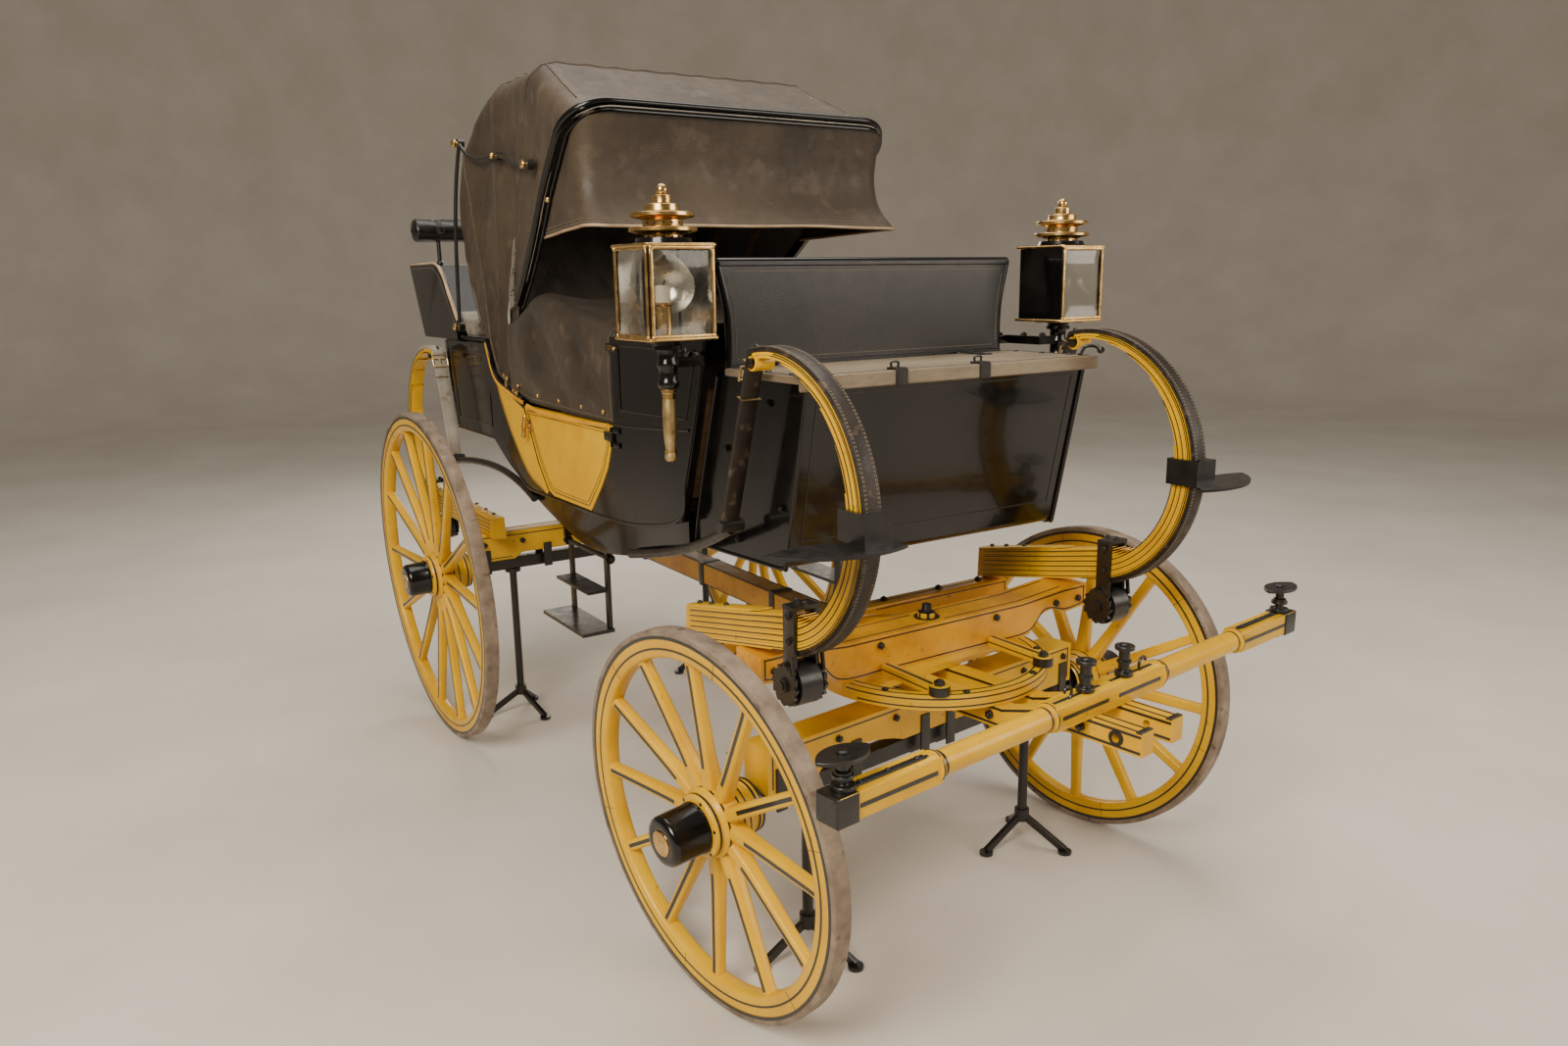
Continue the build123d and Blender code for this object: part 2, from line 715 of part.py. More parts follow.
with BuildPart() as bow_block:
    with BuildSketch(Plane.XZ):
        with BuildLine():
            Polyline((1049, 2222), (1156, 2133), (1000, 1400), (180, 1400), (180, 1800),
                     (600, 2222), close=True)
        make_face()
    extrude(amount=hood_half(1400), both=True)
    add(hood_plan(hood_out + 8), mode=Mode.INTERSECT)
    corners = [e for e in bow_block.edges() if e.center().Z > 2150 and e.center().X > 1060
               and abs(e.center().Y) > 400]
    fillet(corners, 140)

with BuildPart() as front_bow:
    with BuildSketch(Plane.XZ):
        with BuildLine():
            Line(bow_front[0], bow_back[0])
            Spline(*bow_back)
            Line(bow_back[-1], bow_front[-1])
            Spline(*reversed(bow_front))
        make_face()
    extrude(amount=hood_half(1400), both=True)
    add(bow_block.part, mode=Mode.INTERSECT)
    add(hood_block.part, mode=Mode.SUBTRACT)
    add(bow_hollow.part, mode=Mode.SUBTRACT)

with BuildPart() as hood_bows:
    # columns: foot x, foot z, top x, top z
    for foot_x, foot_z, top_x, top_z in [
        (250, 1600, 695, 2312), (120, 1580, 215, 2330), (20, 1590, -110, 2080),
    ]:
        foot = Vector(foot_x, 0, foot_z)
        top = Vector(top_x, 0, top_z)
        tall = (top - foot).length
        lean = Plane(origin=foot, x_dir=(0, 1, 0), z_dir=(top - foot).cross(Vector(0, 1, 0)))
        under = hood_out - hood_skin - fit_gap
        top_half = hood_half(top_x, under)
        foot_half = hood_half(foot_x, under)
        up = 1 if lean.y_dir.Z > 0 else -1
        with BuildPart(mode=Mode.PRIVATE) as hoop:
            for inset, bend, thick, how in [(0, 100, 12, Mode.ADD), (22, 80, 13, Mode.SUBTRACT)]:
                high = up * (tall - inset)
                with BuildSketch(lean):
                    with BuildLine():
                        Polyline((inset - foot_half, 0), (inset - top_half, high),
                                 (top_half - inset, high), (foot_half - inset, 0), close=True)
                    make_face()
                    fillet(vertices().group_by(Axis.Y)[-1 if up > 0 else 0], bend)
                extrude(amount=thick, both=True, mode=how)
            with BuildSketch(lean):
                with Locations((0, up * 55)):
                    Rectangle(2 * top_half, 110)
            extrude(amount=13, both=True, mode=Mode.SUBTRACT)
        add(hoop.part)
    add(hood_plan(hood_out - hood_skin - fit_gap), mode=Mode.INTERSECT)

visor_skin = 8.0
visor_side = hood_out - 24 - fit_gap
# columns: x, z of the visor's front face, from the bow down to its lip
visor_face = [(1109.0, 2156.0), (1088.0, 2070.0), (1080.0, 1990.0), (1108.0, 1910.0), (1170.0, 1840.0)]
with BuildPart() as visor_hollow:
    with BuildSketch(Plane.XZ):
        with BuildLine():
            inside = [(x - visor_skin, z) for x, z in visor_face]
            Spline(*inside)
            Polyline(inside[-1], (1240, 1760), (480, 1700), (480, 2156), inside[0])
        make_face()
    extrude(amount=hood_half(1400), both=True)
    add(hood_plan(visor_side - visor_skin), mode=Mode.INTERSECT)
    front_edges = [e for e in visor_hollow.edges() if e.center().X > 1060
                   and e.center().Z > 1900 and abs(e.center().Y) > 400]
    fillet(front_edges, 62)
with BuildPart() as hood_visor:
    with BuildSketch(Plane.XZ):
        with BuildLine():
            Spline(*visor_face)
            Line(visor_face[-1], (650, 1812))
            Spline((650, 1812), (716, 1888), (790, 1954), (875, 2017), visor_face[0])
        make_face()
    extrude(amount=hood_half(1400), both=True)
    add(hood_plan(visor_side), mode=Mode.INTERSECT)
    front_edges = [e for e in hood_visor.edges() if e.center().X > 1060
                   and e.center().Z > 1900 and abs(e.center().Y) > 400]
    fillet(front_edges, 70)
    add(visor_hollow.part, mode=Mode.SUBTRACT)
    add(front_bow.part, mode=Mode.SUBTRACT)

# folding irons of the hood and the prop behind them
rod = 7.0
with BuildPart() as hood_irons:
    for hand in (-1, 1):
        # columns: x, z of the rod's corners
        for run in (
            [(-110, 2186), (40, 2118), (290, 2104), (480, 2066), (690, 2040)],
            [(-114, 2174), (-205, 1960), (-240, 1760), (-262, 1526)],
        ):
            with BuildLine():
                path = Spline(*[(px, hand * (hood_half(px) + 16), pz) for px, pz in run])
            with BuildSketch(Plane(origin=path @ 0, z_dir=path % 0)):
                Circle(rod)
            sweep(path=path)
        for px, pz, size in ((-112, 2184, 17), (693, 2040, 17), (-258, 1520, 17), (282, 2104, 13)):
            lean = degrees(atan(flare)) if px > flare_x else 0
            with Locations((px, hand * (hood_half(px) + fit_gap + 11), pz)):
                Cylinder(size, 22, rotation=(90, hand * lean, 0))

# leather apron over the knees: a cover with a skirt at each side, open below
apron_end = quarter_x - fit_gap
# columns: x, z of the apron's top from the hood to the dash side
apron_line = [
    (254.0, 1570.0), (340.0, 1581.0), (400.0, 1603.0), (480.0, 1642.0), (631.0, 1661.0),
    (880.0, 1600.0), (apron_end, 1560.0),
]
with BuildPart() as leather_apron:
    with BuildSketch(Plane.XZ):
        with BuildLine():
            Spline(*apron_line)
            Polyline(apron_line[-1], (apron_end, 1284), (254, 1322), apron_line[0])
        make_face()
    extrude(amount=side_out - 4, both=True)
    with BuildSketch(Plane.XZ):
        with BuildLine():
            under_line = [(x, z - 10) for x, z in apron_line]
            Spline(*under_line)
            Polyline(under_line[-1], (apron_end, 1200), (254, 1200), under_line[0])
        make_face()
    extrude(amount=side_out - 14, both=True, mode=Mode.SUBTRACT)

# rear boot and the rumble seat on it
with BuildPart() as rear_boot:
    with BuildSketch(Plane.XZ):
        with BuildLine():
            Polyline((-561, 1462), (-520, 1264), (-474, 1112), (-474, 1104), (-fit_gap, 1104),
                     (-fit_gap, 1462), close=True)
        make_face()
    extrude(amount=boot_out, both=True)
    with BuildSketch(Plane.XZ):
        with BuildLine():
            Polyline((-545, 1480), (-502, 1266), (-458, 1122), (-19, 1122), (-19, 1480),
                     close=True)
        make_face()
    extrude(amount=boot_out - board, both=True, mode=Mode.SUBTRACT)

rumble_low = 1462.0 + fit_gap
with BuildPart() as rumble_seat:
    with BuildSketch(Plane.XZ):
        with BuildLine():
            Polyline((-811, rumble_low), (-965, 1765), (-640, 1765))
            Spline((-640, 1765), (-560, 1738), (-470, 1640), (-378, 1535))
            Polyline((-378, 1535), (-378, rumble_low), (-811, rumble_low))
        make_face()
    extrude(amount=462, both=True)
    with BuildSketch(Plane.XZ):
        with BuildLine():
            Polyline((-800, rumble_low + board), (-960, 1800), (-300, 1800),
                     (-300, rumble_low + board), close=True)
        make_face()
    extrude(amount=440, both=True, mode=Mode.SUBTRACT)
    with BuildSketch(Plane.XZ):
        with BuildLine():
            Polyline((-794, rumble_low + board), (-811, rumble_low), (-965, 1765), (-944, 1765),
                     close=True)
        make_face()
    extrude(amount=440, both=True)
    with Locations((-227, 0, rumble_low + board / 2)):
        Box(310, 880, board)

with BuildPart() as rumble_roll:
    with BuildSketch(Plane.XZ.offset(-440)):
        with Locations((-958, 1912)):
            Circle(50)
    extrude(amount=880)
    ends = rumble_roll.edges().filter_by(GeomType.CIRCLE)
    fillet(ends, 24)
    for y in (-330, 330):
        with Locations((-952, y, 1820)):
            Cylinder(9, 110)
with BuildPart() as rumble_cushion:
    with BuildSketch(Plane.XZ):
        with BuildLine():
            cushion_low = rumble_low + board + fit_gap
            Polyline((-778, cushion_low), (-340, cushion_low), (-340, 1560), (-812, 1560),
                     close=True)
        make_face()
    extrude(amount=430, both=True)

# lamps: black case open at the front and outer side, glass, brass chimney, stem and bracket
with BuildPart() as lamp_cases:
    for hand in (-1, 1):
        mid = (lamp_x, hand * lamp_y)
        half = lamp_side / 2
        with BuildSketch(Plane.XY.offset(lamp_low)):
            with Locations(mid):
                RectangleRounded(lamp_side, lamp_side, 12)
        extrude(amount=lamp_high - lamp_low)
        tall = lamp_high - lamp_low - 16
        with Locations((lamp_x + 6, hand * (lamp_y + 6), (lamp_low + lamp_high) / 2)):
            Box(lamp_side, lamp_side, tall, mode=Mode.SUBTRACT)
        for dx, dy in ((half - 4, half - 4), (half - 4, -half + 4), (-half + 4, half - 4)):
            with Locations((lamp_x + dx, hand * (lamp_y + dy), (lamp_low + lamp_high) / 2)):
                Box(8, 8, lamp_high - lamp_low)
        with BuildSketch(Plane.XY.offset(lamp_high)):
            with Locations(mid):
                Circle(68)
        extrude(amount=16, taper=20)
        with BuildSketch(Plane.XY.offset(lamp_low - 26)):
            with Locations(mid):
                Circle(34)
        extrude(amount=26)
        with BuildSketch(Plane.XY.offset(1440)):
            with Locations(mid):
                Circle(21)
        extrude(amount=lamp_low - 1440)
        arm_out = lamp_y - 80
        with Locations(((lamp_foot + lamp_x) / 2, hand * arm_out, 1500)):
            Box(lamp_x - lamp_foot + 26, 20, 24)
        with Locations((lamp_foot, hand * (side_out + arm_out + 10) / 2, 1500)):
            Box(26, arm_out + 10 - side_out, 24)
        with Locations((lamp_x, hand * (arm_out + lamp_y) / 2, 1500)):
            Box(24, lamp_y - arm_out, 24)

with BuildPart() as lamp_glass:
    for hand in (-1, 1):
        half = lamp_side / 2
        tall = lamp_high - lamp_low - 16 - 2 * fit_gap
        mid_z = (lamp_low + lamp_high) / 2
        with Locations((lamp_x + half - 4, hand * lamp_y, mid_z)):
            Box(4, lamp_side - 16 - 2 * fit_gap, tall)
        with Locations((lamp_x, hand * (lamp_y + half - 4), mid_z)):
            Box(lamp_side - 16 - 2 * fit_gap, 4, tall)

with BuildPart() as lamp_brass:
    for hand in (-1, 1):
        mid = (lamp_x, hand * lamp_y)
        # columns: height of the ring, radius, thickness
        for rise, r, thick in ((16, 44, 16), (32, 78, 7), (39, 46, 26), (65, 73, 7),
                               (72, 40, 18), (90, 22, 20)):
            with BuildSketch(Plane.XY.offset(lamp_high + rise)):
                with Locations(mid):
                    Circle(r)
            extrude(amount=thick)
        with Locations((lamp_x, hand * lamp_y, lamp_high + 121)):
            Sphere(14)
        with BuildSketch(Plane.XY.offset(1440)):
            with Locations(mid):
                Circle(16)
        extrude(amount=-172, taper=1.5)

# body irons: loops that the braces carry, front and back
iron_radius = 13.0
front_eye = front_ring[0] - 213.0
rear_eye = rear_ring[0] + 213.0
iron_y = sill_out + iron_radius + 2 * fit_gap
with BuildPart() as body_irons:
    for hand in (-1, 1):
        # columns: the ring above, then x, y, z of the bar's corners
        for ring, run in (
            (front_ring, [(1180, iron_y, 896), (1310, iron_y, 924), (1440, iron_y + 3, 955),
             ((1440 + front_eye) / 2, 502, 1014), (front_eye, 520, 1092)]),
            (rear_ring, [(420, iron_y, 944), (300, iron_y, 978), (170, iron_y + 3, 1002),
             (-100, 502, 1012), (rear_eye, 520, 990)]),
        ):
            with BuildLine():
                path = Spline(*[(px, hand * py, pz) for px, py, pz in run])
            with BuildSketch(Plane(origin=path @ 0, z_dir=path % 0)):
                Circle(iron_radius)
            sweep(path=path)
            end = run[-1]
            eye_z = ring[1] - loop_drop - fit_gap - eye_radius
            with Locations((end[0], hand * end[1], eye_z)):
                Cylinder(eye_radius, 66, rotation=(90, 0, 0))

# folding steps, hung below the sills at the doors
step_parts = {}
for name, hand in (("left", 1), ("right", -1)):
    y = hand * step_y
    with BuildPart() as step:
        with Locations((step_x, y, step_z)):
            Cylinder(step_rod, 2 * lug_x + 30, rotation=(0, 90, 0))
        for dx in (-140, 140):
            with Locations((step_x + dx, y, step_z - 115)):
                Box(22, 12, 230)
        with Locations((step_x, y + hand * 49, step_z - 235)):
            Box(330, 110, 12)
        with Locations((step_x, y + hand * 29, step_z - 112)):
            Box(258, 70, 10)
    step_parts[name] = step.part

# stands that carry the parked axles: a post, a cup and three splayed feet
stand_parts = {}
for name, x, top in (
    ("front", wheelbase + 4, front_axle_z - axle_half_square - fit_gap),
    ("rear", 0.0, rear_axle_z - axle_half_square - fit_gap),
):
    with BuildPart() as stand:
        for hand in (-1, 1):
            y = hand * 430
            with BuildSketch(Plane.XY.offset(88)):
                with Locations((x, y)):
                    Circle(14)
            extrude(amount=top - 88 - 10)
            with Locations((x, y, top - 7)):
                Cylinder(30, 14)
            with Locations((x, y, 96)):
                Cylinder(22, 36)
            for turn in (0, 120, 240):
                out = Vector(cos(radians(turn + 20)), sin(radians(turn + 20)), 0)
                foot = Vector(x, y, 11) + out * 135
                head = Vector(x, y, 96)
                with BuildSketch(Plane(origin=head, z_dir=foot - head)):
                    Rectangle(20, 14)
                extrude(amount=(foot - head).length)
                with Locations((foot.X, foot.Y, 5)):
                    Cylinder(20, 10)
    stand_parts[name] = stand.part

# where each piece stands
still = Location()
turned = Location((wheelbase, 0, 0), (0, 0, parked_steer)) * Location((-wheelbase, 0, 0))
pieces = [
    ("perch", perch.part, still),
    ("rear_axle", axle_parts["rear"], still),
    ("rear_axle_bed", rear_axle_bed.part, still),
    ("front_transom", front_transom.part, still),
    ("upper_wheel_plate", upper_wheel_plate.part, still),
    ("springs_front", spring_parts["front"], still),
    ("springs_rear", spring_parts["rear"], still),
    ("braces_front", brace_parts["front"], still),
    ("braces_rear", brace_parts["rear"], still),
    ("spring_irons", spring_irons.part, still),
    ("body_floor", body_floor.part, still),
    ("body_side_left", side_parts["left"], still),
    ("body_side_right", side_parts["right"], still),
    ("door_left", door_parts["left"], still),
    ("door_right", door_parts["right"], still),
    ("front_boot", front_boot.part, still),
    ("boot_lid", boot_lid.part, still),
    ("dash_panel", dash_panel.part, still),
    ("cabin_seat", cabin_seat.part, still),
    ("seat_cushions", seat_cushions.part, still),
    ("hood_leather", hood_leather.part, still),
    ("front_bow", front_bow.part, still),
    ("hood_bows", hood_bows.part, still),
    ("hood_visor", hood_visor.part, still),
    ("hood_irons", hood_irons.part, still),
    ("leather_apron", leather_apron.part, still),
    ("rear_boot", rear_boot.part, still),
    ("rumble_seat", rumble_seat.part, still),
    ("rumble_cushion", rumble_cushion.part, still),
    ("rumble_roll", rumble_roll.part, still),
    ("lamp_cases", lamp_cases.part, still),
    ("lamp_glass", lamp_glass.part, still),
    ("lamp_brass", lamp_brass.part, still),
    ("body_irons", body_irons.part, still),
    ("folding_step_left", step_parts["left"], still),
    ("folding_step_right", step_parts["right"], still),
    ("rear_stands", stand_parts["rear"], still),
    ("front_stands", stand_parts["front"], turned),
    ("front_axle", axle_parts["front"], turned),
    ("front_axle_bed", front_axle_bed.part, turned),
    ("lower_wheel_plate", lower_wheel_plate.part, turned),
    ("futchells", futchells.part, turned),
    ("splinter_bar", splinter_bar.part, turned),
    ("roller_bolts", roller_bolts.part, turned),
]
# columns: name, size, axle x, hand, camber, the gear it turns with
for name, size, x, hand, camber, gear in [
    ("front_right", "front", wheelbase, -1, front_camber, turned),
    ("front_left", "front", wheelbase, 1, front_camber, turned),
    ("rear_right", "rear", 0.0, -1, rear_camber, still),
    ("rear_left", "rear", 0.0, 1, rear_camber, still),
]:
    radius = front_radius if size == "front" else rear_radius
    lean = radians(camber)
    face = Plane(
        origin=(x, hand * track / 2, radius * cos(lean)),
        x_dir=(1, 0, 0),
        z_dir=(0, hand * cos(lean), -sin(lean)),
    )
    for kind, part in zip(("tyre", "wheel", "nave"), wheel_parts[size]):
        pieces.append((f"{kind}_{name}", part, gear * face.location))

# the frame's origin is the middle of the whole box's base
whole = Compound([place * part for name, part, place in pieces]).bounding_box()
shift = Location((-whole.center().X, -whole.center().Y, -whole.min.Z))
print("shift", shift.position, "size", whole.size)
for name, part, place in pieces:
    body = shift * place * part
    body.label = name
    export_step(body, f"parts/{name}.step")
print(len(pieces), "pieces written")
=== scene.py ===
# travelling carriage with a folding hood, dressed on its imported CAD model
import math
import bmesh
import bpy
import numpy as np
from mathutils import Matrix


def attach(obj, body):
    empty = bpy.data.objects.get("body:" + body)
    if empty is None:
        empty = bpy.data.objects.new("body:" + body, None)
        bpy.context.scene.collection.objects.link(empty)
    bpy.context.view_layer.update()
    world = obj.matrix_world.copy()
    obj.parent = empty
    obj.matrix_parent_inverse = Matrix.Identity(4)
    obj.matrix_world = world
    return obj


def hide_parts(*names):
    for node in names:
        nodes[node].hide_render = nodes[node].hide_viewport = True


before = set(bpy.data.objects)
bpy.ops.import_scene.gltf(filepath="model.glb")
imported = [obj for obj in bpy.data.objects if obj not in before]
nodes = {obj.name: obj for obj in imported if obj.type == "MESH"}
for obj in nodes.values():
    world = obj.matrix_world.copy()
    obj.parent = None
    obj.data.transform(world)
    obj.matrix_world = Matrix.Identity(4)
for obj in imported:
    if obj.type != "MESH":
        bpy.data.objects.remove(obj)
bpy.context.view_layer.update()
shift = np.array([-0.826761, -0.0384496, 0.0])      # from the rear axle's frame to the row's
kingBolt = np.array([1.952, 0.0, 0.0])
parkedSteer = math.radians(6.3)
print("stage: frame loaded")


def place(points, turned=False):
    # points given from the rear axle, turned about the king bolt where they belong to the front gear
    p = np.asarray(points, float)
    if turned:
        c, s = math.cos(parkedSteer), math.sin(parkedSteer)
        q = p - kingBolt
        p = np.stack([q[..., 0] * c - q[..., 1] * s, q[..., 0] * s + q[..., 1] * c, q[..., 2]], -1) + kingBolt
    return p + shift


def unit(v):
    # each vector divided by its length
    v = np.asarray(v, float)
    return v / np.maximum(np.linalg.norm(v, axis=-1, keepdims=True), 1e-12)


def gridFaces(rows, cols, wrapRows=False, wrapCols=False):
    # quads between neighbours of a grid numbered row by row
    r = np.arange(rows if wrapRows else rows - 1)
    c = np.arange(cols if wrapCols else cols - 1)
    a, b = np.meshgrid(r, c, indexing="ij")
    a2, b2 = (a + 1) % rows, (b + 1) % cols
    return np.stack([a * cols + b, a * cols + b2, a2 * cols + b2, a2 * cols + b], -1).reshape(-1, 4)


def surface(points, wrapRows=False, wrapCols=False):
    # a grid of points (rows, columns, 3) as one sheet
    p = np.asarray(points, float)
    return p.reshape(-1, 3), gridFaces(p.shape[0], p.shape[1], wrapRows, wrapCols)


def merged(shapes):
    # several shapes as one, each one's face numbers raised by the points before it
    verts, faces, base = [], [], 0
    for v, f in shapes:
        verts.append(v)
        faces.append(f + base)
        base += len(v)
    return np.concatenate(verts), np.concatenate(faces)


def sweep(path, profile, up=(0, 0, 1), closed=False, size=1.0):
    # each ring is the path point plus a * side + b * top for the profile's (a, b)
    # side and top are square to the path
    path = np.asarray(path, float)
    profile = np.asarray(profile, float)
    if closed:
        tangent = unit(np.roll(path, -1, 0) - np.roll(path, 1, 0))
    else:
        tangent = unit(np.gradient(path, axis=0))
    upward = np.broadcast_to(np.asarray(up, float), path.shape)
    side = unit(np.cross(tangent, upward))
    top = np.cross(side, tangent)
    size = np.asarray(size, float)
    if size.ndim == 0:
        size = np.full((len(path), 2), float(size))
    elif size.ndim == 1:
        size = np.stack([size, size], 1)
    a = profile[None, :, 0] * size[:, :1]
    b = profile[None, :, 1] * size[:, 1:]
    rings = path[:, None] + a[..., None] * side[:, None] + b[..., None] * top[:, None]
    v, f = surface(rings, closed, True)
    if closed:
        return v, f
    n, m = len(path), len(profile)
    ends = np.array([rings[0].mean(0), rings[-1].mean(0)])
    k = np.arange(m)
    k2 = (k + 1) % m
    start = np.stack([np.full(m, n * m), k2, k, k], 1)
    last = (n - 1) * m
    finish = np.stack([np.full(m, n * m + 1), last + k, last + k2, last + k2], 1)
    return np.concatenate([v, ends]), np.concatenate([f, start, finish])


def roundProfile(width, height, radius, steps=3):
    # rectangle with quarter-circle corners, counter-clockwise
    radius = min(radius, width / 2 - 1e-5, height / 2 - 1e-5)
    t = np.linspace(0, math.pi / 2, steps + 1)
    out = []
    for k, (sx, sy) in enumerate([(1, 1), (-1, 1), (-1, -1), (1, -1)]):
        cx, cy = sx * (width / 2 - radius), sy * (height / 2 - radius)
        ang = t + k * math.pi / 2
        out.append(np.stack([cx + radius * np.cos(ang), cy + radius * np.sin(ang)], 1))
    return np.concatenate(out)


def circleProfile(radius, steps=16):
    # radius * (cos t, sin t)
    t = np.arange(steps) / steps * 2 * math.pi
    return np.stack([radius * np.cos(t), radius * np.sin(t)], 1)


def bar(start, end, width, height, edge=0.002, up=(0, 0, 1)):
    # straight bar with rounded long edges and chamfered ends
    a, b = np.asarray(start, float), np.asarray(end, float)
    d = unit(b - a) * edge
    path = [a, a + d, b - d, b]
    small = np.array([(width - 2 * edge) / width, (height - 2 * edge) / height])
    one = np.ones(2)
    return sweep(path, roundProfile(width, height, edge), up, size=np.array([small, one, one, small]))


def rod(points, radius, steps=12, up=(0, 0, 1), size=1.0):
    # round bar along the points
    return sweep(points, circleProfile(radius, steps), up, size=size)


def revolve(profile, centre, axis, steps=40, closed=False):
    # (radius, height) pairs spun round the axis through the centre
    p = np.asarray(profile, float)
    axis = unit(axis)
    helper = np.array([1.0, 0, 0]) if abs(axis[0]) < 0.9 else np.array([0, 1.0, 0])
    u = unit(np.cross(axis, helper))
    w = np.cross(axis, u)
    t = np.arange(steps) / steps * 2 * math.pi
    ring = np.cos(t)[:, None] * u + np.sin(t)[:, None] * w
    pts = np.asarray(centre, float) + p[:, None, :1] * ring[None] + p[:, None, 1:] * axis
    return surface(pts, closed, True)


def ribbon(points, width, normal, high=0.0006, closed=False):
    # flat painted line or strip lying on a surface: a low box section along the path
    half = width / 2
    section = [(-half, -high), (half, -high), (half, high), (-half, high)]
    return sweep(points, section, normal, closed)


def ball(centre, radius, squashed=1.0, axis=(0, 0, 1), steps=16):
    # radius * (sin t, squashed * cos t) spun round the axis
    t = np.linspace(0.02, math.pi - 0.02, 9)
    return revolve(np.stack([radius * np.sin(t), -radius * squashed * np.cos(t)], 1), centre, axis, steps)


def lump(centre, radius, high, axis, steps=16):
    # flat-backed button: a bolt head or stud standing on a surface
    profile = [(0.0001, -0.001), (radius, -0.001), (radius, high * 0.45), (radius * 0.82, high * 0.8),
               (radius * 0.45, high * 0.97), (0.0001, high)]
    return revolve(profile, centre, axis, steps)


def nut(centre, across, high, axis):
    # six-sided nut with a chamfered top and a domed bolt end
    shape = revolve([(0.0001, -0.001), (across, -0.001), (across, high * 0.9), (across * 0.9, high),
                     (0.0001, high)], centre, axis, 6)
    tip = lump(np.asarray(centre) + unit(axis) * high, across * 0.55, high * 0.5, axis, 12)
    return merged([shape, tip])


def upright(points, y):
    # (x, z) points in the upright plane at y
    p = np.asarray(points, float)
    return np.stack([p[:, 0], np.full(len(p), float(y)), p[:, 1]], 1)


def flatRing(inner, outer, low, high):
    # section of a flat ring as (radius, height) corners
    return [(inner, low), (outer, low), (outer, high), (inner, high)]


def ringThrough(corners, count):
    # closed line through the corners, with count points from each corner to the next
    p = np.asarray(corners, float)
    return np.concatenate([np.linspace(a, b, count)[:-1] for a, b in zip(p, np.roll(p, -1, 0))])


def along(points, count):
    # points at equal steps along a broken line
    p = np.asarray(points, float)
    gone = np.concatenate([[0], np.cumsum(np.linalg.norm(np.diff(p, axis=0), axis=1))])
    at = np.linspace(0, gone[-1], count)
    return np.stack([np.interp(at, gone, p[:, k]) for k in range(p.shape[1])], 1)


def catmull(points, count):
    # smooth line through the points: cubic pieces whose slopes are half the step between neighbours
    p = np.asarray(points, float)
    ext = np.concatenate([[2 * p[0] - p[1]], p, [2 * p[-1] - p[-2]]])
    s = np.linspace(0, len(p) - 1, count)
    i = np.minimum(s.astype(int), len(p) - 2)
    t = (s - i)[:, None]
    a, b, c, d = ext[i], ext[i + 1], ext[i + 2], ext[i + 3]
    cubic = 3 * b - a - 3 * c + d
    return 0.5 * (2 * b + (c - a) * t + (2 * a - 5 * b + 4 * c - d) * t ** 2 + cubic * t ** 3)


def finishPiece(name, mesh, material, body, replaces):
    # a mesh as a piece of the scene that rides on its body
    mesh.polygons.foreach_set("use_smooth", np.ones(len(mesh.polygons), bool))
    mesh.materials.append(material)
    piece = bpy.data.objects.new(name, mesh)
    bpy.context.scene.collection.objects.link(piece)
    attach(piece, body)
    if replaces:
        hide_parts(*replaces)
    return piece


def makePiece(name, shape, material, body="carriage", sharp=35.0, replaces=()):
    # mesh of the shape with its points joined and its faces turned outwards; a quad that names
    # its last point twice is a triangle, and edges that bend more than sharp degrees stay crisp
    verts, faces = shape
    isTri = faces[:, 3] == faces[:, 2]
    keep = np.ones(faces.shape, bool)
    keep[isTri, 3] = False
    loops = faces[keep].astype(np.int32)
    totals = np.where(isTri, 3, 4)
    starts = np.concatenate([[0], np.cumsum(totals)[:-1]]).astype(np.int32)
    mesh = bpy.data.meshes.new(name)
    mesh.vertices.add(len(verts))
    mesh.vertices.foreach_set("co", verts.astype(np.float32).ravel())
    mesh.loops.add(len(loops))
    mesh.loops.foreach_set("vertex_index", loops)
    mesh.polygons.add(len(faces))
    mesh.polygons.foreach_set("loop_start", starts)
    mesh.update(calc_edges=True)
    mesh.validate()
    work = bmesh.new()
    work.from_mesh(mesh)
    bmesh.ops.remove_doubles(work, verts=work.verts, dist=1e-5)
    bmesh.ops.recalc_face_normals(work, faces=work.faces)
    work.to_mesh(mesh)
    work.free()
    mesh.set_sharp_from_angle(angle=math.radians(sharp))
    return finishPiece(name, mesh, material, body, replaces)


def put(name, shapes, material, body="carriage", sharp=40.0, turned=False, replaces=()):
    # several shapes as one piece, placed from the rear axle's frame
    v, f = merged(shapes)
    return makePiece(name, (place(v, turned), f), material, body, sharp, replaces)


def softCopy(node, material, body, width):
    # the CAD node's own mesh with its points merged and its edges rounded
    mesh = nodes[node].data.copy()
    work = bmesh.new()
    work.from_mesh(mesh)
    bmesh.ops.remove_doubles(work, verts=work.verts, dist=2e-5)
    bmesh.ops.dissolve_limit(work, angle_limit=math.radians(0.6), verts=work.verts, edges=work.edges)
    work.to_mesh(mesh)
    work.free()
    mesh.materials.clear()
    mesh.set_sharp_from_angle(angle=math.radians(35))
    piece = finishPiece(node + "_shown", mesh, material, body, (node,))
    bevel = piece.modifiers.new("edge", "BEVEL")
    bevel.width = width
    bevel.segments = 2
    bevel.limit_method = "ANGLE"
    bevel.angle_limit = math.radians(35)
    bevel.harden_normals = False

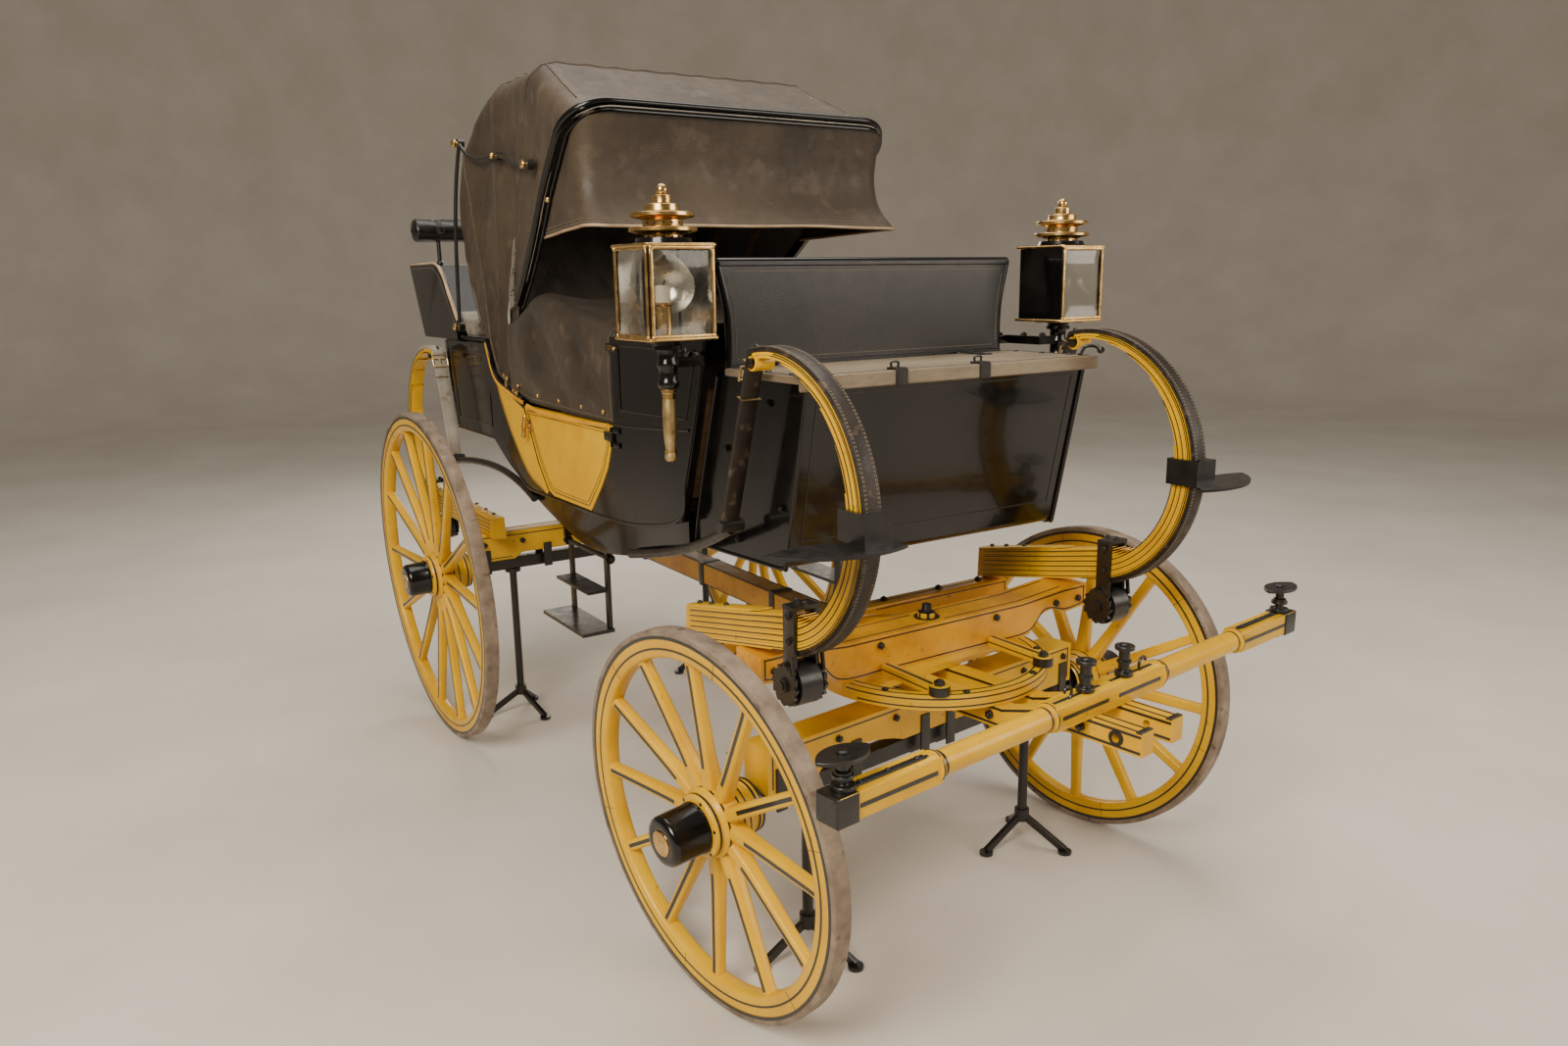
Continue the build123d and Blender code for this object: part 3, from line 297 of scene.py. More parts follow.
# materials
def finish(name, colours, scale=6.0, rough=(0.3, 0.45), bumps=((120.0, 0.05),), metallic=0.0,
           coat=0.0, coatRough=0.1, sheen=0.0, stretch=(1, 1, 1), ior=1.5, specks=()):
    # colour from noise through a ramp, roughness from a second noise, bumps from layers of noise as
    # (scale, strength), and specks of dirt or wear as (scale, threshold, colour, strength)
    mat = bpy.data.materials.new(name)
    mat.use_nodes = True
    tree = mat.node_tree
    new, link = tree.nodes.new, tree.links.new
    shader = tree.nodes["Principled BSDF"]
    coord = new("ShaderNodeTexCoord")
    mapping = new("ShaderNodeMapping")
    mapping.inputs["Scale"].default_value = stretch
    link(coord.outputs["Object"], mapping.inputs["Vector"])

    def noiseOf(size, fine):
        # height of a noise pattern over the piece's own coordinates
        node = new("ShaderNodeTexNoise")
        node.inputs["Scale"].default_value = size
        node.inputs["Detail"].default_value = fine
        link(mapping.outputs["Vector"], node.inputs["Vector"])
        return node

    def ranged(source, fromLow, fromHigh, toLow, toHigh):
        # the noise's height stretched from one range to another
        node = new("ShaderNodeMapRange")
        node.inputs["From Min"].default_value = fromLow
        node.inputs["From Max"].default_value = fromHigh
        node.inputs["To Min"].default_value = toLow
        node.inputs["To Max"].default_value = toHigh
        link(source.outputs["Fac"], node.inputs["Value"])
        return node.outputs["Result"]

    noise = noiseOf(scale, 6.0)
    noise.inputs["Roughness"].default_value = 0.6
    ramp = new("ShaderNodeValToRGB")
    marks = ramp.color_ramp.elements
    spots = np.linspace(0.32, 0.68, len(colours))
    while len(marks) < len(colours):
        marks.new(0.5)
    for mark, spot, colour in zip(marks, spots, colours):
        mark.position = float(spot)
        mark.color = (*colour, 1)
    link(noise.outputs["Fac"], ramp.inputs["Fac"])
    colourOut = ramp.outputs["Color"]
    for speckScale, low, colour, strength in specks:
        mix = new("ShaderNodeMix")
        mix.data_type = "RGBA"
        link(ranged(noiseOf(speckScale, 8.0), low, low + 0.08, 0.0, strength), mix.inputs["Factor"])
        link(colourOut, mix.inputs["A"])
        mix.inputs["B"].default_value = (*colour, 1)
        colourOut = mix.outputs["Result"]
    link(colourOut, shader.inputs["Base Color"])
    link(ranged(noiseOf(30.0, 5.0), 0.3, 0.7, rough[0], rough[1]), shader.inputs["Roughness"])
    normal = None
    for bumpScale, strength in bumps:
        grain = noiseOf(bumpScale, 4.0)
        bump = new("ShaderNodeBump")
        bump.inputs["Strength"].default_value = strength
        bump.inputs["Distance"].default_value = 0.002
        link(grain.outputs["Fac"], bump.inputs["Height"])
        if normal:
            link(normal, bump.inputs["Normal"])
        normal = bump.outputs["Normal"]
    if normal:
        link(normal, shader.inputs["Normal"])
    shader.inputs["Metallic"].default_value = metallic
    shader.inputs["Coat Weight"].default_value = coat
    shader.inputs["Coat Roughness"].default_value = coatRough
    shader.inputs["Sheen Weight"].default_value = sheen
    shader.inputs["IOR"].default_value = ior
    return mat


def leatherGrain(mat, scale=260.0, strength=0.5):
    # pebbled grain: cells of a Voronoi pattern under the material's other bumps
    tree = mat.node_tree
    shader = tree.nodes["Principled BSDF"]
    cells = tree.nodes.new("ShaderNodeTexVoronoi")
    cells.inputs["Scale"].default_value = scale
    coord = tree.nodes["Mapping"]
    tree.links.new(coord.outputs["Vector"], cells.inputs["Vector"])
    bump = tree.nodes.new("ShaderNodeBump")
    bump.inputs["Strength"].default_value = strength
    bump.inputs["Distance"].default_value = 0.0012
    tree.links.new(cells.outputs["Distance"], bump.inputs["Height"])
    old = shader.inputs["Normal"].links
    if old:
        tree.links.new(old[0].from_socket, bump.inputs["Normal"])
    tree.links.new(bump.outputs["Normal"], shader.inputs["Normal"])
    return mat


yellowPaint = finish("coachYellow", [(0.62, 0.325, 0.0002), (0.72, 0.40, 0.0003), (0.78, 0.46, 0.0006)],
                     scale=5.0, rough=(0.26, 0.46), bumps=((35.0, 0.06), (300.0, 0.03)), coat=0.18,
                     coatRough=0.12, ior=1.42, specks=[(40.0, 0.66, (0.30, 0.15, 0.01), 0.6),
                                                       (9.0, 0.62, (0.60, 0.29, 0.002), 0.5)])
deepYellow = finish("coachOrange", [(0.52, 0.22, 0.0005), (0.68, 0.31, 0.0008), (0.78, 0.38, 0.002)],
                    scale=7.0, rough=(0.3, 0.5), bumps=((40.0, 0.08), (260.0, 0.04)), coat=0.3,
                    coatRough=0.2, specks=[(45.0, 0.64, (0.2, 0.1, 0.02), 0.6)])
blackPaint = finish("coachBlack", [(0.0012, 0.0012, 0.0014), (0.0028, 0.0026, 0.0025),
                                   (0.006, 0.005, 0.0042)], scale=4.0, rough=(0.14, 0.24),
                    bumps=((10.0, 0.03), (240.0, 0.02)), coat=0.3, coatRough=0.05, ior=1.38,
                    specks=[(60.0, 0.70, (0.03, 0.025, 0.02), 0.3)])
blackIron = finish("blackIron", [(0.0035, 0.0035, 0.004), (0.007, 0.0065, 0.006), (0.014, 0.012, 0.010)],
                   scale=12.0, rough=(0.28, 0.5), bumps=((60.0, 0.12), (400.0, 0.06)), coat=0.25,
                   coatRough=0.2, specks=[(80.0, 0.66, (0.09, 0.05, 0.03), 0.5)])
lineBlack = finish("lineBlack", [(0.008, 0.008, 0.008), (0.02, 0.018, 0.016)], scale=30.0,
                   rough=(0.3, 0.5), coat=0.3)
tyreIron = finish("wornTyre", [(0.16, 0.12, 0.085), (0.26, 0.20, 0.15), (0.36, 0.29, 0.22)], scale=14.0,
                  rough=(0.45, 0.75), metallic=0.35, bumps=((50.0, 0.3), (320.0, 0.2)),
                  specks=[(26.0, 0.6, (0.10, 0.06, 0.04), 0.7)])
hoodHide = leatherGrain(finish("hoodLeather", [(0.030, 0.020, 0.011), (0.052, 0.036, 0.021),
                                               (0.078, 0.056, 0.034)], scale=3.0, rough=(0.46, 0.68),
                               bumps=((8.0, 0.25), (60.0, 0.15)), sheen=0.03,
                               specks=[(14.0, 0.6, (0.12, 0.09, 0.06), 0.35),
                                       (90.0, 0.66, (0.03, 0.02, 0.015), 0.5)]))
apronHide = leatherGrain(finish("apronLeather", [(0.022, 0.016, 0.010), (0.040, 0.030, 0.020),
                                                 (0.064, 0.050, 0.035)], scale=4.0, rough=(0.40, 0.62),
                                bumps=((14.0, 0.3), (80.0, 0.15)), sheen=0.03,
                                specks=[(16.0, 0.6, (0.10, 0.08, 0.055), 0.4)]), 300.0, 0.4)
blackHide = leatherGrain(finish("patentLeather", [(0.003, 0.0028, 0.0026), (0.006, 0.0055, 0.005),
                                                  (0.012, 0.010, 0.009)], scale=6.0, rough=(0.28, 0.44),
                                bumps=((12.0, 0.10),), coat=0.2, coatRough=0.2), 340.0, 0.25)
brass = finish("agedBrass", [(0.50, 0.30, 0.10), (0.66, 0.43, 0.16), (0.78, 0.55, 0.24)], scale=16.0,
               rough=(0.16, 0.36), metallic=1.0, bumps=((90.0, 0.08),),
               specks=[(70.0, 0.66, (0.22, 0.12, 0.04), 0.6)])
ash = finish("bareAsh", [(0.22, 0.13, 0.06), (0.32, 0.20, 0.10), (0.40, 0.27, 0.15)], scale=3.0,
             stretch=(10, 1.2, 10), rough=(0.45, 0.65), bumps=((30.0, 0.25),))
lidBoard = finish("greyBoard", [(0.15, 0.115, 0.072), (0.22, 0.175, 0.115), (0.29, 0.235, 0.16)],
                  scale=3.0, stretch=(4, 1, 4), rough=(0.4, 0.62), bumps=((24.0, 0.2), (200.0, 0.1)),
                  specks=[(30.0, 0.62, (0.12, 0.09, 0.06), 0.6)])
cloth = finish("woolCloth", [(0.10, 0.085, 0.068), (0.15, 0.13, 0.105), (0.20, 0.175, 0.145)], scale=9.0,
               rough=(0.8, 0.95), bumps=((700.0, 0.4), (90.0, 0.2)), sheen=0.5)
greyHide = leatherGrain(finish("greyLeather", [(0.20, 0.175, 0.145), (0.28, 0.25, 0.21), (0.36, 0.32, 0.27)],
                               scale=8.0, rough=(0.5, 0.75), bumps=((30.0, 0.25),), sheen=0.1,
                               specks=[(22.0, 0.6, (0.12, 0.09, 0.06), 0.6)]), 300.0, 0.4)
braceHide = leatherGrain(finish("braceLeather", [(0.008, 0.0055, 0.004), (0.017, 0.011, 0.0075),
                                                 (0.032, 0.021, 0.014)], scale=9.0, rough=(0.4, 0.62),
                                bumps=((30.0, 0.2),), specks=[(30.0, 0.6, (0.13, 0.09, 0.06), 0.5)]),
                         300.0, 0.35)
lining = finish("hoodLining", [(0.16, 0.145, 0.12), (0.22, 0.20, 0.17), (0.27, 0.25, 0.215)], scale=4.0,
                rough=(0.8, 0.95), bumps=((500.0, 0.3), (20.0, 0.25)), sheen=0.4)
stitchThread = finish("stitchThread", [(0.16, 0.13, 0.09), (0.26, 0.21, 0.15)], scale=60.0, rough=(0.7, 0.9))
tanPiping = leatherGrain(finish("tanPiping", [(0.30, 0.20, 0.11), (0.42, 0.29, 0.17), (0.5, 0.36, 0.22)],
                                scale=10.0, rough=(0.45, 0.65), bumps=((40.0, 0.2),)), 320.0, 0.3)
greyBrass = finish("dullBrass", [(0.34, 0.24, 0.10), (0.48, 0.35, 0.16), (0.60, 0.46, 0.24)], scale=22.0,
                   rough=(0.28, 0.5), metallic=0.9, bumps=((120.0, 0.1),),
                   specks=[(50.0, 0.6, (0.12, 0.08, 0.04), 0.6)])
silver = finish("lampSilver", [(0.55, 0.54, 0.50), (0.70, 0.69, 0.65), (0.80, 0.79, 0.76)], scale=10.0,
                rough=(0.20, 0.36), metallic=1.0, bumps=((60.0, 0.05),))
wax = finish("candleWax", [(0.66, 0.60, 0.48), (0.76, 0.71, 0.60)], scale=12.0, rough=(0.35, 0.5),
             bumps=((40.0, 0.15),))
print("stage: materials")

# CAD nodes kept as they are drawn: a merged copy of each with its edges rounded
# columns: node, body, material, slot, edge width
kept = [
    ("rear_axle", "carriage", blackIron, "black_iron", 0.003),
    ("front_axle", "front_gear", blackIron, "black_iron", 0.003),
    ("rear_axle_bed", "carriage", yellowPaint, "yellow_wood", 0.006),
    ("front_axle_bed", "front_gear", yellowPaint, "yellow_wood", 0.006),
    ("perch", "carriage", deepYellow, "yellow_wood", 0.006),
    ("front_transom", "carriage", deepYellow, "yellow_wood", 0.007),
    ("upper_wheel_plate", "carriage", yellowPaint, "yellow_iron", 0.003),
    ("lower_wheel_plate", "front_gear", yellowPaint, "yellow_iron", 0.003),
    ("futchells", "front_gear", yellowPaint, "yellow_wood", 0.005),
    ("splinter_bar", "front_gear", yellowPaint, "yellow_wood", 0.004),
    ("roller_bolts", "front_gear", blackIron, "black_iron", 0.0015),
    ("spring_irons", "carriage", blackIron, "black_iron", 0.002),
    ("body_floor", "carriage", blackPaint, "black_panel", 0.003),
    ("body_side_left", "carriage", blackPaint, "black_panel", 0.003),
    ("body_side_right", "carriage", blackPaint, "black_panel", 0.003),
    ("front_boot", "carriage", blackPaint, "black_panel", 0.005),
    ("dash_panel", "carriage", blackHide, "dash_leather", 0.003),
    ("cabin_seat", "carriage", ash, "seat_wood", 0.004),
    ("front_bow", "carriage", blackPaint, "black_panel", 0.004),
    ("hood_bows", "carriage", ash, "seat_wood", 0.003),
    ("hood_irons", "carriage", blackIron, "black_iron", 0.001),
    ("rear_boot", "carriage", blackPaint, "black_panel", 0.005),
    ("rumble_seat", "carriage", blackPaint, "rumble_panel", 0.004),
    ("body_irons", "carriage", blackIron, "black_iron", 0.001),
    ("rear_stands", "carriage", blackIron, "black_iron", 0.0015),
    ("front_stands", "front_gear", blackIron, "black_iron", 0.0015),
    ("boot_lid", "front_lid", lidBoard, "lid_board", 0.004),
    ("folding_step_right", "step_right", blackIron, "black_iron", 0.0015),
    ("folding_step_left", "step_left", blackIron, "black_iron", 0.0015),
    ("door_right", "side_door_right", yellowPaint, "door_paint", 0.003),
    ("door_left", "side_door_left", yellowPaint, "door_paint", 0.003),
    ("lamp_cases", "carriage", blackPaint, "lamp_black", 0.002),
    ("lamp_brass", "carriage", brass, "lamp_brass", 0.0015),
]
for node, body, material, slot, width in kept:
    softCopy(node, material, body, width)
print("stage: kept pieces")

# wheels
def onWheel(name, shapes, material, sharp=35.0, replaces=()):
    # a piece given in the wheel's own frame, with its axis along z
    v, f = merged(shapes)
    return makePiece(name, (place(centre + v @ wheelAxes, turned), f), material, body, sharp, replaces)


# columns: name, radius, spokes, axle x, side, camber in degrees, whether it turns with the front gear, cap
wheelRows = [
    ("front_right", 0.465, 12, 1.952, -1, 3.5, True, 0.101),
    ("front_left", 0.465, 12, 1.952, 1, 3.5, True, 0.101),
    ("rear_right", 0.614, 14, 0.0, -1, 2.5, False, 0.084),
    ("rear_left", 0.614, 14, 0.0, 1, 2.5, False, 0.084),
]
wheelSizes = {"tyre": 0.013, "felloe": 0.054, "hubOut": 0.758, "spokeFoot": 0.074}
for name, radius, spokes, axleX, hand, lean, turned, cap in wheelRows:
    tilt = math.radians(lean)
    outward = np.array([0, hand * math.cos(tilt), -math.sin(tilt)])
    centre = np.array([axleX, hand * wheelSizes["hubOut"], radius * math.cos(tilt)])
    across = np.array([1.0, 0, 0])
    upward = np.cross(outward, across)
    body = "road_wheel_" + name

    wheelAxes = np.array([across, upward, outward])
    rimOut = radius - wheelSizes["tyre"]
    rimIn = rimOut - wheelSizes["felloe"]
    axis = (0, 0, 1)
    zero = (0, 0, 0)
    tyreRound = [(rimOut, -0.046), (radius - 0.003, -0.046), (radius - 0.0008, -0.0445), (radius, -0.041),
                 (radius, -0.005), (radius - 0.0008, -0.0015), (radius - 0.003, 0.0), (rimOut, 0.0)]
    onWheel("tyre_" + name + "_shown", [revolve(tyreRound, zero, axis, 120, True)], tyreIron,
            replaces=("tyre_" + name,))
    felloe = [(rimOut - 0.0002, -0.045), (rimOut - 0.0002, -0.001), (rimIn + 0.008, -0.001),
              (rimIn + 0.003, -0.0035), (rimIn, -0.009), (rimIn - 0.001, -0.023), (rimIn, -0.037),
              (rimIn + 0.003, -0.0425), (rimIn + 0.008, -0.045)]
    wood = [revolve(felloe, zero, axis, 120, True)]
    lines = []
    pegs = []
    turns = np.arange(spokes) * 2 * math.pi / spokes
    reach = np.linspace(0, 1, 12)
    r = wheelSizes["spokeFoot"] + (rimIn + 0.008 - wheelSizes["spokeFoot"]) * reach
    mid = -0.053 + 0.030 * reach
    wide = np.interp(reach, [0, 0.07, 0.13, 0.3, 0.9, 1], [0.037, 0.037, 0.035, 0.032, 0.029, 0.031])
    deep = np.interp(reach, [0, 0.07, 0.13, 0.3, 0.9, 1], [0.048, 0.046, 0.040, 0.034, 0.028, 0.030])
    corner = roundProfile(1.0, 1.0, 0.30, 4)
    for turn in turns:
        c, s = math.cos(turn), math.sin(turn)
        path = np.stack([r * c, r * s, mid], 1)
        wood.append(sweep(path, corner, (0, 0, 1), size=np.stack([wide, deep], 1)))
        span = np.linspace(0.135, rimIn - 0.006, 8)
        rise = np.interp(span, r, mid + deep / 2 * 0.995)
        lines.append(ribbon(np.stack([span * c, span * s, rise + 0.0003], 1), 0.0095, (0, 0, 1), 0.0005))
        half = turn + math.pi / spokes
        if round(turn / (2 * math.pi / spokes)) % 2 == 0:
            ends = np.array([rimIn + 0.004, rimOut - 0.002])
            joint = np.stack([ends * math.cos(half), ends * math.sin(half), [-0.0008, -0.0008]], 1)
            lines.append(ribbon(joint, 0.0012, (0, 0, 1), 0.0003))
            back = joint * [1, 1, 0] + [0, 0, -0.0452]
            lines.append(ribbon(back, 0.0012, (0, 0, 1), 0.0003))
        spot = radius * np.array([math.cos(half + 0.11), math.sin(half + 0.11), 0]) + [0, 0, -0.023]
        pegs.append(lump(spot - 0.0012 * unit(spot * [1, 1, 0]), 0.0075, 0.0018, spot * [1, 1, 0], 12))
    for ringRadius, ringWide in ((rimOut - 0.0045, 0.0075), (rimOut - 0.031, 0.0045)):
        for level in (-0.0004, -0.0456):
            band = flatRing(ringRadius - ringWide / 2, ringRadius + ringWide / 2, level - 0.0006,
                            level + 0.0006)
            lines.append(revolve(band, zero, axis, 120, True))
    barrel = [(0.058, -0.150), (0.064, -0.145), (0.066, -0.130), (0.064, -0.124), (0.070, -0.116),
              (0.076, -0.096), (0.0835, -0.082), (0.0845, -0.078), (0.0845, -0.028), (0.083, -0.025),
              (0.0765, -0.0215), (0.0755, -0.019), (0.0755, -0.003), (0.073, 0.0005), (0.062, 0.0025),
              (0.058, 0.0025)]
    wood.append(revolve(barrel, zero, axis, 56))
    stripes = [(0.0652, -0.1445, 0.006), (0.0665, -0.131, 0.0055), (0.0767, -0.0965, 0.004),
               (0.0850, -0.0745, 0.0045), (0.0850, -0.0315, 0.0045), (0.0760, -0.0110, 0.006)]
    for ringRadius, level, tall in stripes:
        band = flatRing(ringRadius - 0.002, ringRadius + 0.0006, level - tall / 2, level + tall / 2)
        lines.append(revolve(band, zero, axis, 56, True))
    capShape = [(0.0601, 0.001), (0.0625, 0.004), (0.0625, 0.012), (0.0605, 0.015), (0.0600, cap - 0.014),
                (0.0585, cap - 0.008), (0.0545, cap - 0.003), (0.0480, cap - 0.0005), (0.0340, cap + 0.0005),
                (0.0310, cap - 0.001)]
    sleeve = [(0.0224, -0.152), (0.030, -0.1525), (0.058, -0.1515), (0.0585, -0.147)]
    disc = [(0.0312, cap - 0.002), (0.0305, cap + 0.0015), (0.028, cap + 0.003), (0.020, cap + 0.0034),
            (0.018, cap + 0.0024), (0.009, cap + 0.0022), (0.0075, cap + 0.0032), (0.0001, cap + 0.0036)]
    bolts = [lump((0.069 * math.cos(a), 0.069 * math.sin(a), 0.0004), 0.0045, 0.003, axis, 10)
             for a in np.arange(6) * math.pi / 3 + 0.2]
    onWheel("wheel_" + name + "_shown", wood, yellowPaint, 40.0, ("wheel_" + name, "nave_" + name))
    onWheel("wheelLines_" + name, lines, lineBlack)
    onWheel("tyrePegs_" + name, pegs, tyreIron)
    caps = [revolve(capShape, zero, axis, 56), revolve(sleeve, zero, axis, 40), *bolts]
    onWheel("naveCap_" + name, caps, blackPaint)
    onWheel("naveDisc_" + name, [revolve(disc, zero, axis, 40)], brass)
print("stage: wheels")

def stitches(line, normal, pitch=0.009, long=0.005, wide=0.0011, high=0.0007):
    # small boxes at equal steps along a line: centre +- long/2 * tangent +- wide/2 * side +- high * normal
    line = np.asarray(line, float)
    step = np.linalg.norm(np.diff(line, axis=0), axis=1)
    gone = np.concatenate([[0], np.cumsum(step)])
    at = np.arange(pitch, gone[-1] - pitch, pitch)
    spot = np.stack([np.interp(at, gone, line[:, k]) for k in range(3)], 1)
    slope = np.gradient(line, axis=0)
    tangent = unit(np.stack([np.interp(at, gone, slope[:, k]) for k in range(3)], 1))
    normals = np.broadcast_to(np.asarray(normal, float), line.shape)
    up = unit(np.stack([np.interp(at, gone, normals[:, k]) for k in range(3)], 1))
    side = np.cross(tangent, up)
    corner = np.array([(x, y, z) for x in (-1, 1) for y in (-1, 1) for z in (-1, 1)], float)
    verts = (spot[:, None] + corner[None, :, :1] * long / 2 * tangent[:, None]
             + corner[None, :, 1:2] * wide / 2 * side[:, None] + corner[None, :, 2:] * high * up[:, None])
    box = np.array([(0, 1, 3, 2), (4, 6, 7, 5), (0, 4, 5, 1), (2, 3, 7, 6), (0, 2, 6, 4), (1, 5, 7, 3)])
    faces = (box[None] + 8 * np.arange(len(at))[:, None, None]).reshape(-1, 4)
    return verts.reshape(-1, 3), faces


def ratchet(centre, radius, teeth, thick, axis):
    # saw-toothed wheel: radius * (1 - 0.16 * share of the tooth), then it springs back
    axis = unit(axis)
    helper = np.array([1.0, 0, 0])
    w = np.cross(axis, helper)
    k = np.arange(teeth * 6)
    turn = 2 * math.pi * k / len(k)
    ring = radius * (1 - 0.16 * (k % 6) / 5)
    flat = ring[:, None] * (np.cos(turn)[:, None] * helper + np.sin(turn)[:, None] * w)
    grid = np.stack([flat * 0.02 - axis * thick / 2, flat - axis * thick / 2, flat + axis * thick / 2,
                     flat * 0.02 + axis * thick / 2])
    return surface(np.asarray(centre, float) + grid, False, True)


# springs of separate leaves, with their rolled eyes, braces, winches and treads
spring = {"outer": 0.338, "inner": 0.311, "leaf": 0.0072, "wide": 0.050, "side": 0.520, "brace": 0.012,
          "gapShadeOut": 0.0246, "seamOut": 0.0252, "buckle": -22, "keepers": (-28, -16)}
# columns: name, ring centre x and z, side it bulges to, foot end x and z, foot depth, slope of the foot,
# and the winch nuts' height over the spring's lowest point
springRows = [
    ("front", 2.035, 1.193, 1, 1.622, 0.765, 0.097, 11.4, 0.114),
    ("rear", -0.532, 1.090, -1, 0.140, 0.752, 0.084, 0.0, 0.127),
]
for name, cx, cz, way, footX, footZ, footDeep, slope, over in springRows:
    a = np.radians(np.linspace(slope - 90, 100, 110))
    arc = np.stack([cx + way * spring["outer"] * np.cos(a), cz + spring["outer"] * np.sin(a)], 1)
    t = np.linspace(0, 1, 40)[:-1, None]
    foot = np.array([footX, footZ]) * (1 - t) + arc[0] * t
    outerLine = np.concatenate([foot, arc])
    b = np.radians(np.linspace(-47, 96, 300))
    inX, inZ = cx - way * 0.025, cz + 0.012
    innerArc = np.stack([inX + way * spring["inner"] * np.cos(b), inZ + spring["inner"] * np.sin(b)], 1)
    t = np.linspace(0, 1, 200)[:, None]
    innerLine = np.concatenate([np.array([footX, footZ + footDeep]) * (1 - t) + innerArc[0] * t, innerArc])
    # inward is straight up on the foot, turns over its last points, and aims at the ring's centre on the arc
    onFoot = len(foot)
    radial = unit(np.array([cx, cz]) - arc)
    straight = np.array([[0.0, 1.0]]) * np.ones((onFoot, 1))
    mix = np.clip((np.arange(onFoot) - 25) / 14, 0, 1)[:, None]
    first = radial[0] * np.ones((onFoot, 1))
    inward = np.concatenate([unit(straight * (1 - mix) + first * mix), radial])
    inward3 = upright(inward, 0)
    thick = np.linalg.norm(outerLine[:, None] - innerLine[None], axis=2).min(1)
    footEnds = sorted([footX * way, arc[0][0] * way])
    thick[:30] = np.maximum(thick[:30], np.interp(outerLine[:30, 0] * way, footEnds,
                                                  [footDeep, thick[onFoot]]))
    leaves, studs, lines = [], [], []
    count = int(footDeep / spring["leaf"])
    for hand in (-1, 1):
        y = hand * spring["side"]
        for k in range(count):
            has = np.nonzero(thick >= (k + 0.8) * spring["leaf"])[0]
            last = has.max()
            path = upright(outerLine[:last + 1] + inward[:last + 1] * (k + 0.5) * spring["leaf"], y)
            toEnd = np.linalg.norm(np.diff(path, axis=0)[::-1], axis=1).cumsum()[::-1]
            toEnd = np.concatenate([toEnd, [0]])
            taper = np.clip(toEnd / 0.05, 0.25 if k > 1 else 1.0, 1.0)
            size = np.stack([np.ones(last + 1), taper], 1)
            section = roundProfile(spring["wide"] - 0.0006 * k, spring["leaf"] * 0.95, 0.0016, 2)
            leaves.append(sweep(path, section, inward3[:last + 1], size=size))
            # every second leaf joint gets a black line on both side faces: painted shade for the dark gap
            # between the leaves
            if k % 2 == 0 and k + 1 < count:
                gapShade = upright(outerLine[:last + 1] + inward[:last + 1] * (k + 1) * spring["leaf"], y)[2:-8]
                for edge in (-1, 1):
                    lines.append(ribbon(gapShade + [0, edge * spring["gapShadeOut"], 0], 0.0022, (0, edge, 0),
                                        0.0007))
        eyeX = innerArc[-1][0] - way * 0.004
        eyeZ = innerArc[-1][1] - 0.010
        curl = np.linspace(0.2, 5.6, 26)
        grow = 0.0125 + 0.0012 * curl
        curlPath = np.stack([eyeX + way * grow * np.sin(curl) * -1, np.full(26, y),
                             eyeZ + grow * np.cos(curl)], 1)
        curlUp = np.stack([way * np.sin(curl) * -1, np.zeros(26), np.cos(curl)], 1)
        leaves.append(sweep(curlPath, roundProfile(spring["wide"] + 0.001, 0.0055, 0.001, 2), curlUp))
        studs.append(revolve([(0.0001, -0.034), (0.011, -0.034), (0.011, -0.0275), (0.0075, -0.027),
                              (0.0075, 0.027), (0.011, 0.0275), (0.011, 0.034), (0.0001, 0.034)],
                             (eyeX, y, eyeZ), (0, 1, 0), 20))
        hook = catmull([(eyeX, y, eyeZ + 0.010), (eyeX - way * 0.004, y, eyeZ + 0.026),
                        (eyeX - way * 0.016, y, eyeZ + 0.036), (eyeX - way * 0.024, y, eyeZ + 0.026)], 14)
        studs.append(rod(hook, 0.0042, 10, (0, 1, 0)))
        topLine = outerLine[:26] + inward[:26] * thick[:26, None]
        for part in (0.12, 0.34, 0.56):
            spot = topLine[int(part * 25)]
            studs.append(lump((spot[0], y, spot[1] - 0.001), 0.007, 0.006, (0, 0, 1)))
        for edge in (-1, 1):
            seam = upright(outerLine, y + edge * spring["seamOut"]) + inward3 * 0.002
            lines.append(ribbon(seam[34:140], 0.0028, (0, edge, 0), 0.0005))
    put("springLeaves_" + name, leaves, yellowPaint, replaces=("springs_" + name,))
    put("springPins_" + name, studs, blackIron, sharp=35.0)
    put("springLines_" + name, lines, lineBlack, sharp=35.0)

    # brace: two layers of leather round the back of the spring and down to the body's loop
    half = spring["brace"] / 2
    c = np.radians(np.linspace(slope - 88, 103, 120))
    belt = spring["outer"] + 0.0003 + half
    wrap = np.stack([cx + way * belt * np.cos(c), np.zeros(120), cz + belt * np.sin(c)], 1)
    loop = np.array([cx - way * 0.213, 0, cz - 0.076])
    hang = np.array([cx - way * 0.089, 0, cz + 0.303])
    bendOver = catmull([wrap[-1], (hang + wrap[-1]) / 2 + [0, 0, 0.004], hang, hang * 0.7 + loop * 0.3,
                        loop], 50)[1:]
    path = np.concatenate([wrap, bendOver])
    tangent = unit(np.gradient(path, axis=0))
    outward = np.cross(tangent, [0, -1.0 * way, 0])
    straps, threads, buckles = [], [], []
    for hand in (-1, 1):
        line = path + [0, hand * spring["side"], 0]
        for layer, wide in ((-1, 0.046), (1, 0.0448)):
            straps.append(sweep(line + outward * layer * half * 0.5,
                                roundProfile(wide, half * 0.98, 0.0018, 2), outward))
        sideways = np.cross(tangent, outward)
        for edge in (-1, 1):
            for inset in (0.0185, 0.0145):
                threads.append(stitches(line + outward * (half + 0.0001) + sideways * edge * inset, outward))
